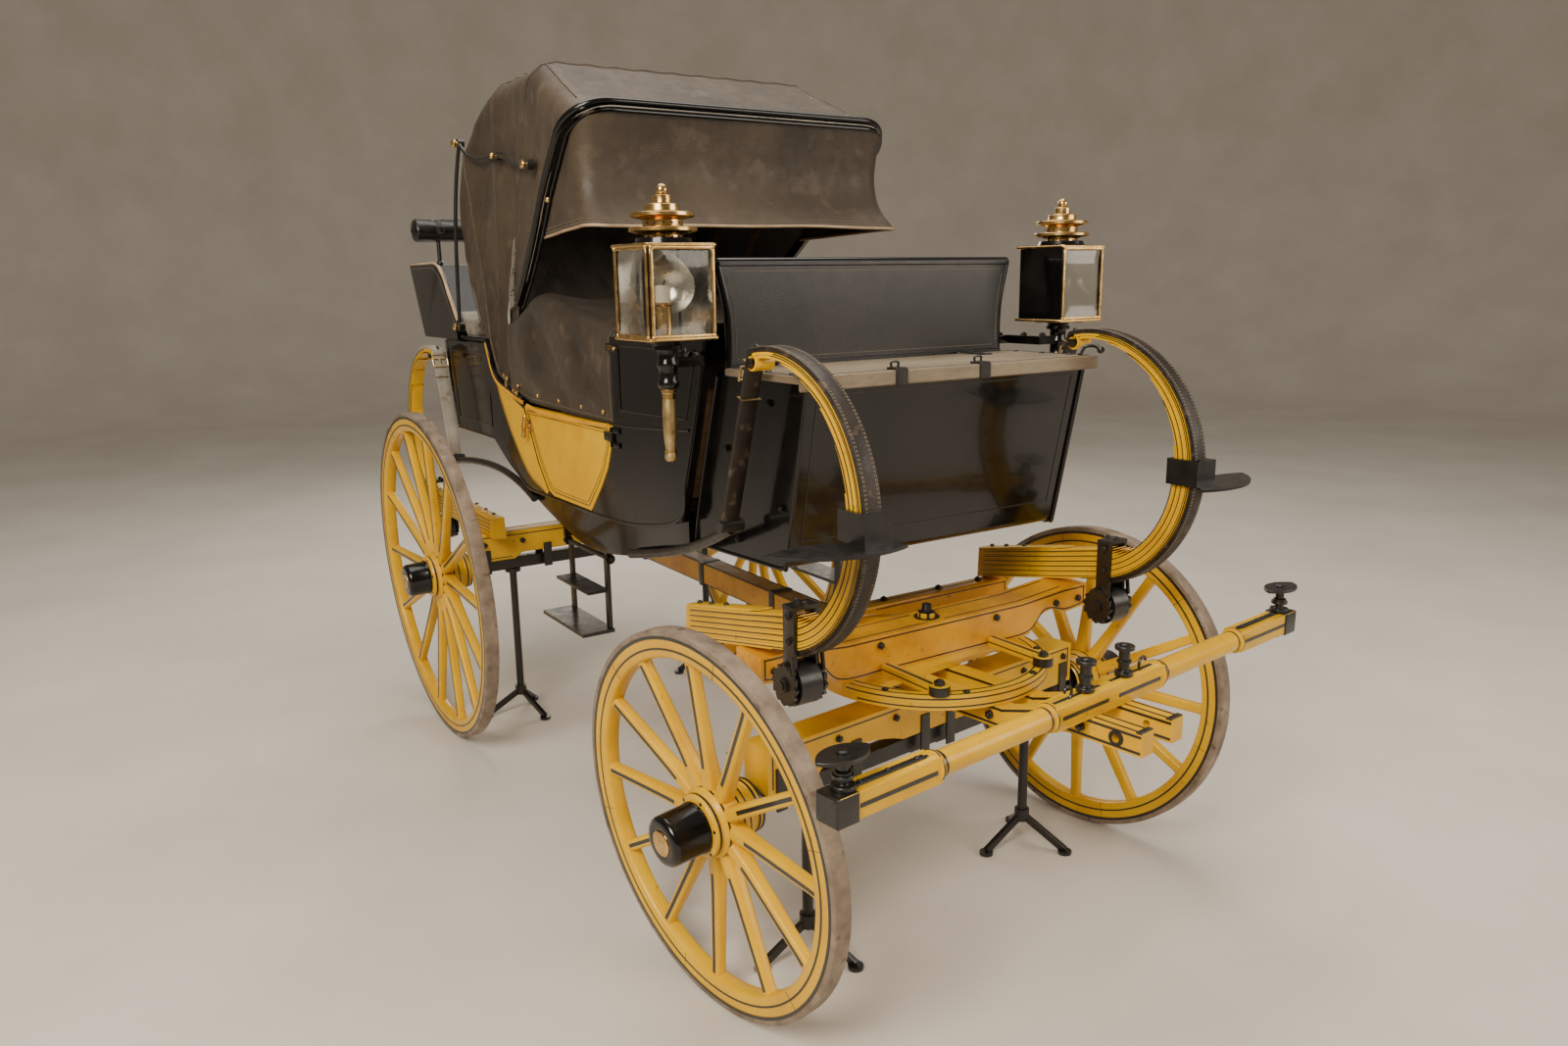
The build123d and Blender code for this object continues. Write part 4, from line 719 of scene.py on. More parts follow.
        # buckle: a frame with its tongue, and a keeper loop on either side of it
        at = spring["buckle"]
        spot, onward, off, across = line[at], tangent[at], outward[at], sideways[at]
        dense = ringThrough([(-0.029, -0.016), (0.029, -0.016), (0.029, 0.016), (-0.029, 0.016)], 8)
        ring = spot + off * 0.009 + dense[:, :1] * across + dense[:, 1:] * onward
        buckles.append(sweep(ring, circleProfile(0.0034, 8), off, closed=True))
        buckles.append(bar(spot + off * 0.010 - onward * 0.018, spot + off * 0.010 + onward * 0.018, 0.005,
                           0.004, 0.001, off))
        for at in spring["keepers"]:
            keeper = [line[at] + across * s + off * h for s, h in
                     ((-0.0245, -0.008), (-0.0245, 0.0085), (0.0245, 0.0085), (0.0245, -0.008))]
            buckles.append(sweep(keeper, roundProfile(0.010, 0.002, 0.0008, 2), onward, closed=True))
    put("bracesShown_" + name, straps, greyHide if name == "rear" else braceHide, sharp=45.0,
        replaces=("braces_" + name,))
    put("braceStitches_" + name, threads, stitchThread, sharp=35.0)
    put("braceBuckles_" + name, buckles, greyBrass, sharp=35.0)

    # winch: a ratchet at each end of the roller, with its nut, pawl arm and rivets
    lowX = cx + way * spring["outer"] * math.cos(math.radians(slope - 90))
    lowZ = cz + spring["outer"] * math.sin(math.radians(slope - 90))
    winch = []
    for hand in (-1, 1):
        middle = np.array([lowX + way * 0.014, hand * spring["side"], lowZ - 0.072])
        for edge in (-1, 1):
            out = np.array([0, edge, 0])
            winch.append(ratchet(middle + out * 0.0405, 0.050, 12, 0.009, (0, 1, 0)))
            winch.append(revolve([(0.0001, 0.045), (0.020, 0.045), (0.019, 0.0515), (0.013, 0.053),
                                  (0.013, 0.056), (0.0001, 0.056)], middle, out, 6))
            winch.append(bar(middle + out * 0.0405 + [way * 0.030, 0, 0.074],
                             middle + out * 0.0405 + [way * 0.036, 0, 0.030], 0.010, 0.007, 0.0015,
                             (0, 1, 0)))
            winch.append(lump(middle + out * 0.0365 + [way * 0.012, 0, 0.105], 0.008, 0.010, out))
            winch.append(lump(middle + out * 0.0365 + [way * 0.012, 0, 0.165], 0.008, 0.010, out))
        for x in (-0.012, 0.020):
            winch.append(nut((lowX + way * 0.014 + way * x, hand * spring["side"], lowZ + over), 0.0085,
                             0.007, (0, 0, 1)))
    put("winchRatchets_" + name, winch, blackIron, sharp=35.0)
print("stage: springs")

kingX = kingBolt[0]
# half sizes across: axle bed, futchell's middle and its outer cheek, perch, transom
gear = {"bed": 0.0454, "beam": 0.059, "cheek": 0.0803, "perch": 0.0343, "transom": 0.0553}


# gear: painted lines, bolts, plates and rings over the woodwork
def frameLine(corners, normal, width=0.003, closed=False, high=0.0007):
    # painted line through corner points, with close points beside each corner so that it turns sharply
    p = np.asarray(corners, float)
    if closed:
        p = np.concatenate([p, p[:1]])
    parts = []
    for a, b in zip(p[:-1], p[1:]):
        d = unit(b - a) * width / 2
        parts.append(ribbon([a - d, (a + b) / 2, b + d], width, normal, high))
    return merged(parts)


gearLines, gearBolts, frameLines, frameBolts = [], [], [], []
barX, barZ = kingX + 0.551, 0.747
for hand in (-1, 1):
    for a, b in ((0.590, 0.798), (0.02, 0.190)):
        for zz, xx, n in ((0.0274, 0.0, (0, 0, 1)), (0.0, 0.0274, (1, 0, 0))):
            gearLines.append(ribbon([(barX + xx, hand * a, barZ + zz),
                                     (barX + xx, hand * (a + b) / 2, barZ + zz),
                                     (barX + xx, hand * b, barZ + zz)], 0.009, n))
    for y, inner, outer, half in ((0.225, 0.0268, 0.0278, 0.003), (0.560, 0.0268, 0.0278, 0.003),
                                  (0.210, 0.0325, 0.0336, 0.0018), (0.575, 0.0325, 0.0336, 0.0018)):
        gearLines.append(revolve(flatRing(inner, outer, -half, half), (barX, hand * y, barZ), (0, 1, 0),
                                 32, True))
    gearBolts.append(bar((barX, hand * 0.800, barZ), (barX, hand * 0.8585, barZ), 0.0615, 0.0615, 0.004))
    gearBolts.append(bar((barX, hand * 0.600, barZ + 0.0285), (barX, hand * 0.796, barZ + 0.0285), 0.016,
                         0.004, 0.001))
    for y in (0.62, 0.70, 0.775):
        gearBolts.append(lump((barX, hand * y, barZ + 0.0295), 0.0065, 0.005, (0, 0, 1)))
    # roller bolts: collar, cap and the nut below the bar
    for y in (0.075, 0.816):
        gearBolts.append(revolve([(0.0145, 0.0), (0.017, 0.001), (0.017, 0.006), (0.0145, 0.008)],
                                 (barX, hand * y, 0.806), (0, 0, 1), 24))
        gearBolts.append(lump((barX, hand * y, 0.8475), 0.012, 0.006, (0, 0, 1), 20))
        gearBolts.append(nut((barX, hand * y, barZ - 0.027), 0.013, 0.012, (0, 0, -1)))
    beam = gear["beam"] * hand
    for edge in (-1, 1):
        yy = beam + edge * 0.0212
        top = np.array([(1.835, yy, 0.6605), (2.275, yy, 0.6605), (2.448, yy, 0.7105), (2.650, yy, 0.7105)])
        gearLines.append(frameLine(top, (0, edge, 0), 0.006))
        low = np.array([(1.835, yy, 0.6205), (2.285, yy, 0.6205), (2.460, yy, 0.6735), (2.650, yy, 0.6735)])
        gearLines.append(frameLine(low, (0, edge, 0), 0.006))
    for edge in (-1, 1):
        gearLines.append(ribbon([(2.470, beam + edge * 0.014, 0.7199), (2.56, beam + edge * 0.014, 0.7199),
                                 (2.650, beam + edge * 0.014, 0.7199)], 0.006, (0, 0, 1)))
    gearBolts.append(revolve([(0.0095, -0.001), (0.018, -0.001), (0.018, 0.003), (0.0095, 0.0035)],
                             (2.592, hand * gear["cheek"], 0.692), (0, hand, 0), 28))
    for px, pz in ((1.86, 0.641), (2.10, 0.641), (2.24, 0.641), (2.50, 0.692)):
        gearBolts.append(nut((px, hand * gear["cheek"], pz), 0.0115, 0.009, (0, hand, 0)))
    gearBolts.append(bar((2.640, beam, 0.7203), (2.655, beam, 0.7203), 0.046, 0.004, 0.001))
    for face in (-1, 1):
        ahead = (face, 0, 0)
        xx = kingX + face * gear["bed"]
        gearLines.append(frameLine([(xx, hand * 0.135, 0.600), (xx, hand * 0.570, 0.600),
                                    (xx, hand * 0.570, 0.512)], ahead, 0.0035))
        for y in (0.16, 0.36, 0.545):
            gearBolts.append(nut((xx, hand * y, 0.580), 0.010, 0.008, ahead))
        xr = face * gear["bed"]
        frameLines.append(frameLine([(xr, hand * 0.09, 0.738), (xr, hand * 0.572, 0.738),
                                     (xr, hand * 0.572, 0.655), (xr, hand * 0.445, 0.655)], ahead, 0.0035))
        for y in (0.18, 0.40, 0.55):
            frameBolts.append(nut((xr, hand * y, 0.712), 0.011, 0.009, ahead))
    for x in (-0.030, 0.030):
        frameLines.append(frameLine([(x, hand * 0.10, 0.7522), (x, hand * 0.475, 0.7522)], (0, 0, 1), 0.003))
    for y in (0.05, 0.30, 0.545):
        gearBolts.append(bar((kingX + 0.02, hand * y, 0.4515), (kingX - 0.02, hand * y, 0.4515), 0.05,
                             0.008, 0.002))
        for sx in (-1, 1):
            gearBolts.append(bar((kingX + sx * 0.047, hand * y, 0.4500),
                                 (kingX + sx * 0.047, hand * y, 0.560), 0.032, 0.006, 0.001, (1, 0, 0)))
            frameBolts.append(bar((sx * 0.047, hand * y, 0.5965), (sx * 0.047, hand * y, 0.690), 0.032,
                                  0.006, 0.001, (1, 0, 0)))
    # carved transom: line along its front and back faces that follows the arched ends
    for face in (-1, 1):
        ahead = (face, 0, 0)
        xx = kingX + face * gear["transom"]
        lowLine = catmull([(xx, hand * 0.545, 0.765), (xx, hand * 0.472, 0.758), (xx, hand * 0.390, 0.771),
                           (xx, hand * 0.322, 0.7185), (xx, hand * 0.160, 0.7165),
                           (xx, hand * 0.0, 0.7165)], 40)
        frameLines.append(ribbon(lowLine, 0.0035, ahead))
        frameLines.append(frameLine([(xx, 0, 0.7985), (xx, hand * 0.300, 0.7985), (xx, hand * 0.468, 0.812),
                                     (xx, hand * 0.545, 0.812), (xx, hand * 0.545, 0.765)], ahead, 0.0035))
        for y in (0.20, 0.43, 0.52):
            frameBolts.append(nut((xx, hand * y, 0.782), 0.010, 0.008, ahead))
    for xx in (1.915, 1.989):
        frameLines.append(frameLine([(xx, 0.03 * hand, 0.8064), (xx, hand * 0.300, 0.8064),
                                     (xx, hand * 0.462, 0.8200)], (0, 0, 1), 0.003))
    # stay arms
    arm = np.array([(x, hand * 0.184, 0.7321) for x in (2.012, 2.100, 2.188)])
    frameLines.append(ribbon(arm, 0.009, (0, 0, 1)))
    for edge in (-1, 1):
        frameLines.append(ribbon(arm + [0, edge * 0.0152, -0.012], 0.003, (0, edge, 0)))
    frameBolts.append(nut((2.204, hand * 0.176, 0.7319), 0.014, 0.010, (0, 0, 1)))
    frameBolts.append(revolve([(0.0255, -0.012), (0.0262, -0.009), (0.0262, 0.009), (0.0255, 0.012)],
                              (2.204, hand * 0.176, 0.7197), (0, 0, 1), 28))
    # small carved scrolls on the bar beside the roller bolts
    turn = np.linspace(0, 4.4, 30)
    grow = 0.006 + 0.0038 * turn
    scroll = np.stack([np.full(30, barX + 0.004), hand * (0.150 + grow * np.cos(turn)),
                       barZ + 0.045 + grow * np.sin(turn)], 1)
    gearBolts.append(rod(scroll, 0.0035, 8, (1, 0, 0)))
    # perch: iron bands, plates and edge lines
    for px, pz in ((0.35, 0.6855), (0.80, 0.6815), (1.25, 0.679), (1.56, 0.678)):
        if hand == 1:
            low, high = pz - 0.041, pz + 0.041
            band = ringThrough([(px, -0.0348, low), (px, 0.0348, low), (px, 0.0348, high),
                                (px, -0.0348, high)], 7)
            frameBolts.append(sweep(band, roundProfile(0.004, 0.030, 0.001, 2), (1, 0, 0), closed=True))
    for edge in (0.010, -0.010):
        pz = 0.7245 if edge < 0 else 0.6535
        edgeRun = upright([(0.06, pz), (0.80, pz - 0.004), (1.59, pz - 0.010)], hand * gear["perch"])
        frameLines.append(ribbon(edgeRun, 0.003, (0, hand, 0)))
    frameLines.append(frameLine([(1.6595, hand * 0.05, 0.7663), (1.6595, hand * 0.49, 0.7663)], (0, 0, 1),
                                0.0035))
    for face in (-1, 1):
        xx = 1.66 + face * 0.0303
        frameLines.append(frameLine([(xx, hand * 0.04, 0.755), (xx, hand * 0.548, 0.755),
                                     (xx, hand * 0.548, 0.720), (xx, hand * 0.04, 0.720)], (face, 0, 0),
                                    0.003))
    for y in (0.09, 0.30, 0.46):
        frameBolts.append(nut((1.660, hand * y, 0.766), 0.011, 0.009, (0, 0, 1)))
# wheel plates: edge lines on the arc and bolt heads round it
for level, turned, store in ((0.7079, False, frameLines), (0.6873, True, gearLines)):
    spread = 80 if turned else 78
    span = np.radians(np.linspace(-spread, spread, 60))
    for ringRadius in (0.289, 0.311):
        ringPath = np.stack([kingX + ringRadius * np.cos(span), ringRadius * np.sin(span),
                             np.full(60, level)], 1)
        store.append(ribbon(ringPath, 0.0045, (0, 0, 1), 0.0005))
span = np.radians(np.linspace(-79, 79, 70))
for level, store in ((0.6977, frameLines), (0.6783, gearLines)):
    rimPath = np.stack([kingX + 0.3173 * np.cos(span), 0.3173 * np.sin(span), np.full(70, level)], 1)
    store.append(ribbon(rimPath, 0.0035, np.stack([np.cos(span), np.sin(span), span * 0], 1), 0.0005))
for angle in np.radians([-60, -22, 22, 60]):
    frameBolts.append(lump((kingX + 0.300 * math.cos(angle), 0.300 * math.sin(angle), 0.7079), 0.009,
                           0.005, (0, 0, 1)))
thread = np.linspace(0, 1, 90)
spin = thread * 2 * math.pi * 9
coil = np.stack([kingX + 0.0118 * np.cos(spin), 0.0118 * np.sin(spin), 0.822 + 0.020 * thread], 1)
frameBolts.append(nut((kingX, 0, 0.807), 0.026, 0.016, (0, 0, 1)))
frameBolts.append(rod([(kingX, 0, 0.80), (kingX, 0, 0.82), (kingX, 0, 0.843)], 0.011, 16, (1, 0, 0)))
frameBolts.append(sweep(coil, circleProfile(0.0013, 5), (0, 0, 1)))
frameBolts.append(revolve([(0.027, 0.0), (0.034, 0.001), (0.034, 0.003), (0.027, 0.0035)],
                          (kingX, 0, 0.8062), (0, 0, 1), 30))
put("gearLines", gearLines, lineBlack, "front_gear", turned=True)
put("gearBolts", gearBolts, blackIron, "front_gear", turned=True)
put("frameLines", frameLines, lineBlack)
put("frameBolts", frameBolts, blackIron)
print("stage: gear")

# hood, bow, visor and apron: sheets whose sections fan out between a top line and a foot line
hood = {"half": 0.4677, "spreadFrom": 0.300, "spread": 0.135, "radius": 0.090, "skin": 0.003, "sag": 0.013}


def hoodHalf(x):
    # half width: the back's half, plus spread times the way in front of spreadFrom
    return hood["half"] + hood["spread"] * np.maximum(0, x - hood["spreadFrom"])


def fanGrid(tops, feet, halfAt, radius, counts=(14, 9, 26)):
    # one section per pair of (x, z): across the top, round the corner, then straight down to the foot;
    # at depth s below the top the half width is half - r + sqrt(r * r - (r - s) * (r - s)), and half below r
    tops, feet = np.asarray(tops, float), np.asarray(feet, float)
    long = np.linalg.norm(feet - tops, axis=1)[:, None]
    flat = np.linspace(0, 1, counts[0])[None, :-1]
    turn = np.arccos(1 - np.minimum(long, radius) / radius) * np.linspace(0, 1, counts[1])[None]
    down = np.linspace(0, 1, counts[2])[None, 1:]
    depth = np.concatenate([flat * 0 * long, radius * (1 - np.cos(turn)),
                            np.minimum(long, radius) + down * np.maximum(long - radius, 0)], 1)
    spot = tops[:, None] + (feet - tops)[:, None] * (depth / np.maximum(long, 1e-9))[..., None]
    half = halfAt(spot[..., 0])
    edge = np.concatenate([flat * np.ones_like(long), np.ones((len(tops), counts[1] + counts[2] - 1))], 1)
    inset = np.concatenate([np.zeros((len(tops), counts[0] - 1)), radius * np.sin(turn),
                            np.sin(turn[:, -1:]) * radius * np.ones_like(down)], 1)
    y = edge * (half - radius) + inset
    right = np.stack([spot[..., 0], -y, spot[..., 1]], -1)
    left = np.stack([spot[..., 0], y, spot[..., 1]], -1)
    return np.concatenate([right[:, ::-1], left[:, 1:]], 1)


def gridNormals(grid):
    # square to both directions of the grid, pointing away from the middle of the piece
    across = np.gradient(grid, axis=1)
    onward = np.gradient(grid, axis=0)
    n = np.cross(onward, across)
    for shiftStep in (1, 2, 3):
        bad = np.linalg.norm(n, axis=2) < 1e-12
        n = np.where(bad[..., None], np.roll(n, shiftStep, 0) + np.roll(n, -shiftStep, 1), n)
    n = unit(n)
    middle = grid.reshape(-1, 3).mean(0)
    return n if np.sum(n * (grid - middle)) > 0 else -n


def thickSheet(grid, normals, thick):
    # outer grid, inner grid moved by -thick * normal, and a rim between their borders
    rows, cols = grid.shape[:2]
    verts = np.concatenate([grid.reshape(-1, 3), (grid - thick * normals).reshape(-1, 3)])
    outer = gridFaces(rows, cols)
    inner = outer[:, ::-1] + rows * cols
    index = np.arange(rows * cols).reshape(rows, cols)
    ring = np.concatenate([index[0], index[1:, -1], index[-1, -2::-1], index[-2:0:-1, 0]])
    nextRing = np.roll(ring, -1)
    rim = np.stack([ring, ring + rows * cols, nextRing + rows * cols, nextRing], 1)
    return verts, np.concatenate([outer, inner, rim])


# columns: roof line of the panel, foot line of the panel, sections, from the bow to the back
hoodPanels = [([(1.092, 2.169), (0.960, 2.2285), (0.830, 2.287), (0.735, 2.330), (0.705, 2.3435)],
               [(1.083, 2.163), (0.990, 2.100), (0.876, 2.016), (0.791, 1.952), (0.717, 1.884),
                (0.609, 1.791), (0.497, 1.706), (0.366, 1.622), (0.250, 1.590)], 30),
              ([(0.705, 2.3435), (0.60, 2.3485), (0.400, 2.357), (0.217, 2.362)],
               [(0.250, 1.590), (0.250, 1.308), (0.104, 1.364)], 26),
              ([(0.217, 2.362), (0.110, 2.340), (0.0, 2.298), (-0.090, 2.246), (-0.150, 2.200)],
               [(0.104, 1.364), (0.066, 1.425), (0.036, 1.490)], 22),
              ([(-0.150, 2.200), (-0.205, 2.135), (-0.245, 2.060), (-0.255, 2.000), (-0.240, 1.880),
                (-0.205, 1.775), (-0.150, 1.650), (-0.093, 1.540)],
               [(0.036, 1.490), (-0.030, 1.513), (-0.091, 1.5375)], 26),]
tops, feet, rise, hoopRows = [], [], [], [0]
for top, foot, count in hoodPanels:
    top, foot = along(catmull(top, 60), count), along(foot, count)
    first = 1 if tops else 0
    tops.append(top[first:])
    feet.append(foot[first:])
    rise.append(np.sin(np.linspace(0, math.pi, count))[first:])
    hoopRows.append(hoopRows[-1] + count - 1)
tops, feet, rise = np.concatenate(tops), np.concatenate(feet), np.concatenate(rise)
hoodGrid = fanGrid(tops, feet, hoodHalf, hood["radius"])
hoodNormals = gridNormals(hoodGrid)
cols = hoodGrid.shape[1]
across = np.linspace(-1, 1, cols)[None]
roofShare = np.exp(-(across / 0.30) ** 4)
sideShare = np.sin(np.clip((np.abs(across) - 0.42) / 0.58, 0, 1) * math.pi) ** 0.8
sag = hood["sag"] * rise[:, None] * (0.9 * roofShare + 0.75 * sideShare + 0.10 * (1 - across ** 2))
x, y, z = hoodGrid[..., 0], hoodGrid[..., 1], hoodGrid[..., 2]
folds = (0.0022 * np.sin(31 * x + 17 * z + 5 * np.sign(y)) * np.sin(13 * z - 9 * x + 1.3)
         + 0.0014 * np.sin(57 * x - 41 * z + 0.7) + 0.0012 * np.sin(64 * y + 19 * x))
puckers = 0.0016 * np.sin(across * 95) * (1 - rise[:, None]) ** 6
edgeHold = np.clip((1 - np.abs(across)) / 0.06, 0, 1)
sag = (sag + 0.0024 + folds * (0.35 + 0.65 * rise[:, None]) + puckers) * edgeHold
hoodOuter = hoodGrid - sag[..., None] * hoodNormals
hoodShape = thickSheet(hoodOuter, hoodNormals, hood["skin"])
hoodPiece = put("hoodLeather_shown", [hoodShape], hoodHide, sharp=50.0, replaces=("hood_leather",))
liningShape = thickSheet(hoodOuter - 0.0045 * hoodNormals, hoodNormals, 0.0015)
put("hoodLining", [liningShape], lining, sharp=50.0)
welts, seams = [], []
for row in hoopRows[1:-1]:
    line, n = hoodOuter[row], hoodNormals[row]
    welts.append(sweep(line + 0.0008 * n, circleProfile(0.0026, 8), n))
    for off in (-1, 1):
        near = hoodOuter[row + off]
        step = unit(near - line) * 0.008
        seams.append(stitches(line + step + 0.0006 * n, n, 0.008, 0.0045, 0.0012, 0.0008))
bend = int(cols / 2)
for side in (-1, 1):
    col = bend + side * (14 + 1)
    line, n = hoodOuter[6:-4, col], hoodNormals[6:-4, col]
    welts.append(sweep(line + 0.0008 * n, circleProfile(0.0026, 8), n))
    beside = unit(hoodOuter[6:-4, col + side] - line) * 0.009
    seams.append(stitches(line + beside + 0.0006 * n, n, 0.008, 0.0045, 0.0012, 0.0008))
for k in (0, -1):
    welts.append(rod(hoodOuter[hoopRows[1]:, k] - [0, 0, 0.001], 0.0055, 10, (0, 1, 0)))
put("hoodWelts", welts, hoodHide, sharp=50.0)
put("hoodStitches", seams, stitchThread, sharp=35.0)
print("stage: hood")

# bow: a rolled bead outside, a light grey line that is a painted highlight, and a wide dark band inside; its
# corners turn with r 0.14
bowLine = catmull([(0.365, 1.623), (0.496, 1.707), (0.608, 1.792), (0.716, 1.885), (0.790, 1.953),
                   (0.875, 2.017), (1.098, 2.175)], 90)


def bowPath(forward, upward, halfExtra, radius=0.140):
    # right foot, up, across and down again; s is the way left to the top, and the corner takes s < r
    line = bowLine[::-1] + [forward, upward]
    gone = np.concatenate([[0], np.cumsum(np.linalg.norm(np.diff(line, axis=0), axis=1))])
    turn = np.linspace(0, math.pi / 2, 14)
    s = np.concatenate([radius * (1 - np.cos(turn)), np.linspace(radius, gone[-1], 44)[1:]])
    px, pz = np.interp(s, gone, line[:, 0]), np.interp(s, gone, line[:, 1])
    half = hoodHalf(px) + halfExtra
    bendIn = np.concatenate([radius * (1 - np.sin(turn)), np.zeros(43)])
    sideRun = np.stack([px, half - bendIn, pz], 1)
    acrossRun = np.linspace(-1, 1, 17)[1:-1, None] * [0, sideRun[0, 1], 0] + sideRun[0] * [1, 0, 1]
    return np.concatenate([sideRun[::-1] * [1, -1, 1], acrossRun, sideRun])


rolled = bowPath(0.004, 0.004, 0.004)
middleLine = rolled.mean(0)
leaning = (0.8, 0, 0.6)
put("bowBead", [sweep(rolled, circleProfile(0.0105, 14), unit(rolled - middleLine))], blackPaint, sharp=50.0)
# light grey rod along the bow: a painted highlight
put("bowPaintedHighlight", [rod(bowPath(0.017, -0.012, -0.001), 0.0020, 8, leaning)], greyHide, sharp=35.0)
put("bowInnerBead", [rod(bowPath(0.014, -0.022, -0.016, 0.12), 0.0045, 10, leaning)], blackPaint, sharp=35.0)

# visor: hangs from the bow and flares at its lip
visorTop = catmull([(1.106, 2.150), (1.088, 2.070), (1.080, 1.990), (1.104, 1.910), (1.168, 1.843)], 30)
visorFoot = along([(1.096, 2.140), (0.990, 2.085), (0.889, 2.006), (0.803, 1.943), (0.730, 1.875),
                   (0.665, 1.822)], 30)
visorGrid = fanGrid(visorTop, visorFoot, lambda x: hoodHalf(x) - 0.0245, 0.070, (16, 10, 26))
visorNormals = gridNormals(visorGrid)
down = np.linspace(0, 1, 30)[:, None]
wave = np.linspace(-1, 1, visorGrid.shape[1])[None]
ripple = 0.0035 * np.sin(wave * 7.3 + 0.6) * down ** 2 + 0.0016 * np.sin(wave * 23 + down * 5) * down
visorGrid = visorGrid + (ripple - 0.001)[..., None] * visorNormals
visorShape = thickSheet(visorGrid, visorNormals, 0.004)
put("visor_shown", [visorShape], hoodHide, sharp=50.0, replaces=("hood_visor",))
lip = visorGrid[-1] - 0.002 * visorNormals[-1]
put("visorPiping", [sweep(lip, circleProfile(0.0045, 10), visorNormals[-1])], tanPiping, sharp=35.0)
visorSeams = [stitches(visorGrid[k] + 0.0004 * visorNormals[k], visorNormals[k], 0.009, 0.005, 0.0012,
                       0.0007) for k in (-2, -3)]
put("visorStitches", visorSeams, stitchThread, sharp=35.0)
knobs = []
for hand in (-1, 1):
    for px, pz, size in ((-0.112, 2.184, 0.015), (0.693, 2.040, 0.013), (0.282, 2.104, 0.010),
                         (-0.258, 1.520, 0.013)):
        out = hoodHalf(px) + 0.0225
        knobs.append(revolve([(0.0001, -0.004), (size * 0.5, -0.004), (size * 0.5, 0.006), (size, 0.010),
                              (size * 1.05, 0.015), (size * 0.8, 0.020), (size * 0.35, 0.0225),
                              (0.0001, 0.023)], (px, hand * out, pz), (0, hand, 0), 24))
    knobs.append(ball((0.797, hand * (hoodHalf(0.797) - 0.012), 1.930), 0.010))
put("hoodKnobs", knobs, brass, sharp=35.0)
print("stage: bow and visor")

# leather apron over the cabin: laid from the hood's foot to the front panel and hung over the doors
apronTop = catmull([(0.256, 1.572), (0.340, 1.581), (0.400, 1.603), (0.480, 1.640), (0.631, 1.657),
                    (0.880, 1.600), (1.110, 1.560)], 60)


def apronLow(x):
    # height of the apron's foot over x
    return np.interp(x, [0.256, 0.45, 1.110], [1.318, 1.284, 1.274])


apronFoot = np.stack([apronTop[:, 0], apronLow(apronTop[:, 0])], 1)
apronGrid = fanGrid(apronTop, apronFoot, lambda x: 0.4835 + 0 * x, 0.055, (26, 9, 22))
apronNormals = gridNormals(apronGrid)
x, y, z = apronGrid[..., 0], apronGrid[..., 1], apronGrid[..., 2]
u = np.linspace(0, 1, 60)[:, None]
w = np.abs(np.linspace(-1, 1, apronGrid.shape[1]))[None]
onTop = np.clip(1 - (w / 0.55) ** 4, 0, 1)
hollow = 0.030 * np.sin(math.pi * u) ** 1.4 * onTop * (1 - 0.35 * np.cos(9 * y))
rays = 0.004 * np.sin(16 * (x - 0.25) + 9 * np.abs(y)) * np.sin(math.pi * u) * (1 - 0.6 * w)
# long folds that run down towards the front: pinched creases with a soft swell between them
slant = 10.5 * (z + 0.72 * x) + 0.9 * np.sin(6.5 * x + 1.1) + 0.7 * np.sign(y)
swell = 0.028 * np.abs(np.sin(slant)) ** 0.65 * np.sin(math.pi * u) ** 0.6 * np.clip(w * 2.2 - 0.75, 0, 1)
swell = swell * np.clip((1 - w) / 0.14, 0, 1)
onSides = np.clip(w * 1.6 - 0.3, 0, 1)
creases = 0.0045 * np.sin(34 * (x * 0.8 + z * 0.6) + 3 * np.sign(y)) * np.sin(math.pi * u) * onSides
sharpFold = 0.007 * np.exp(-((x - 0.55 - 0.7 * (1.56 - z)) / 0.022) ** 2) * np.clip(w - 0.35, 0, 1)
sharpFold = sharpFold + 0.006 * np.exp(-((x - 0.93 + 0.5 * (1.55 - z)) / 0.018) ** 2) * np.clip(w - 0.4, 0, 1)
apronMove = swell - hollow + rays + 0.4 * creases + sharpFold - 0.003
apronOuter = apronGrid + apronMove[..., None] * apronNormals
apronShape = thickSheet(apronOuter, apronNormals, 0.0035)
apronPiece = put("apron_shown", [apronShape], apronHide, sharp=50.0, replaces=("leather_apron",))
trim, trimSeams = [], []
for line, n in ((apronOuter[:, 0], apronNormals[:, 0]), (apronOuter[:, -1], apronNormals[:, -1]),
                (apronOuter[0], apronNormals[0]), (apronOuter[-1], apronNormals[-1])):
    trim.append(sweep(line - 0.0018 * n, circleProfile(0.0036, 8), n))
for k in (1, -2):
    trimSeams.append(stitches(apronOuter[:, k] + 0.0004 * apronNormals[:, k], apronNormals[:, k], 0.008,
                              0.0045, 0.0012, 0.0008))
    trimSeams.append(stitches(apronOuter[k] + 0.0004 * apronNormals[k], apronNormals[k], 0.008, 0.0045,
                              0.0012, 0.0008))
studs = []
for px in (0.34, 0.52, 0.70, 0.88, 1.04):
    for hand in (-1, 1):
        studs.append(lump((px, hand * 0.4850, apronLow(px) + 0.030), 0.0075, 0.006, (0, hand, 0)))
put("apronBinding", trim, blackHide, sharp=50.0)
put("apronStitches", trimSeams, stitchThread, sharp=35.0)
put("apronStuds", studs, brass, sharp=35.0)
print("stage: apron")

# body: mouldings, painted lines, beads of both boots, dash and the rumble seat's piping
# half widths that trim lies on: the boots' sides and the body sides
bootOut = 0.4505
onSide = 0.4905


def sideRun(points, hand, out):
    # (x, z) points laid on the outside of a body side
    return upright(points, hand * out)


def framed(corners, hand, out, profile):
    # a moulding along each side of a panel
    p = np.asarray(corners, float)
    sides = [sideRun([a, (a + b) / 2, b], hand, out) for a, b in zip(p, np.roll(p, -1, 0))]
    return [sweep(line, profile, (0, hand, 0)) for line in sides]


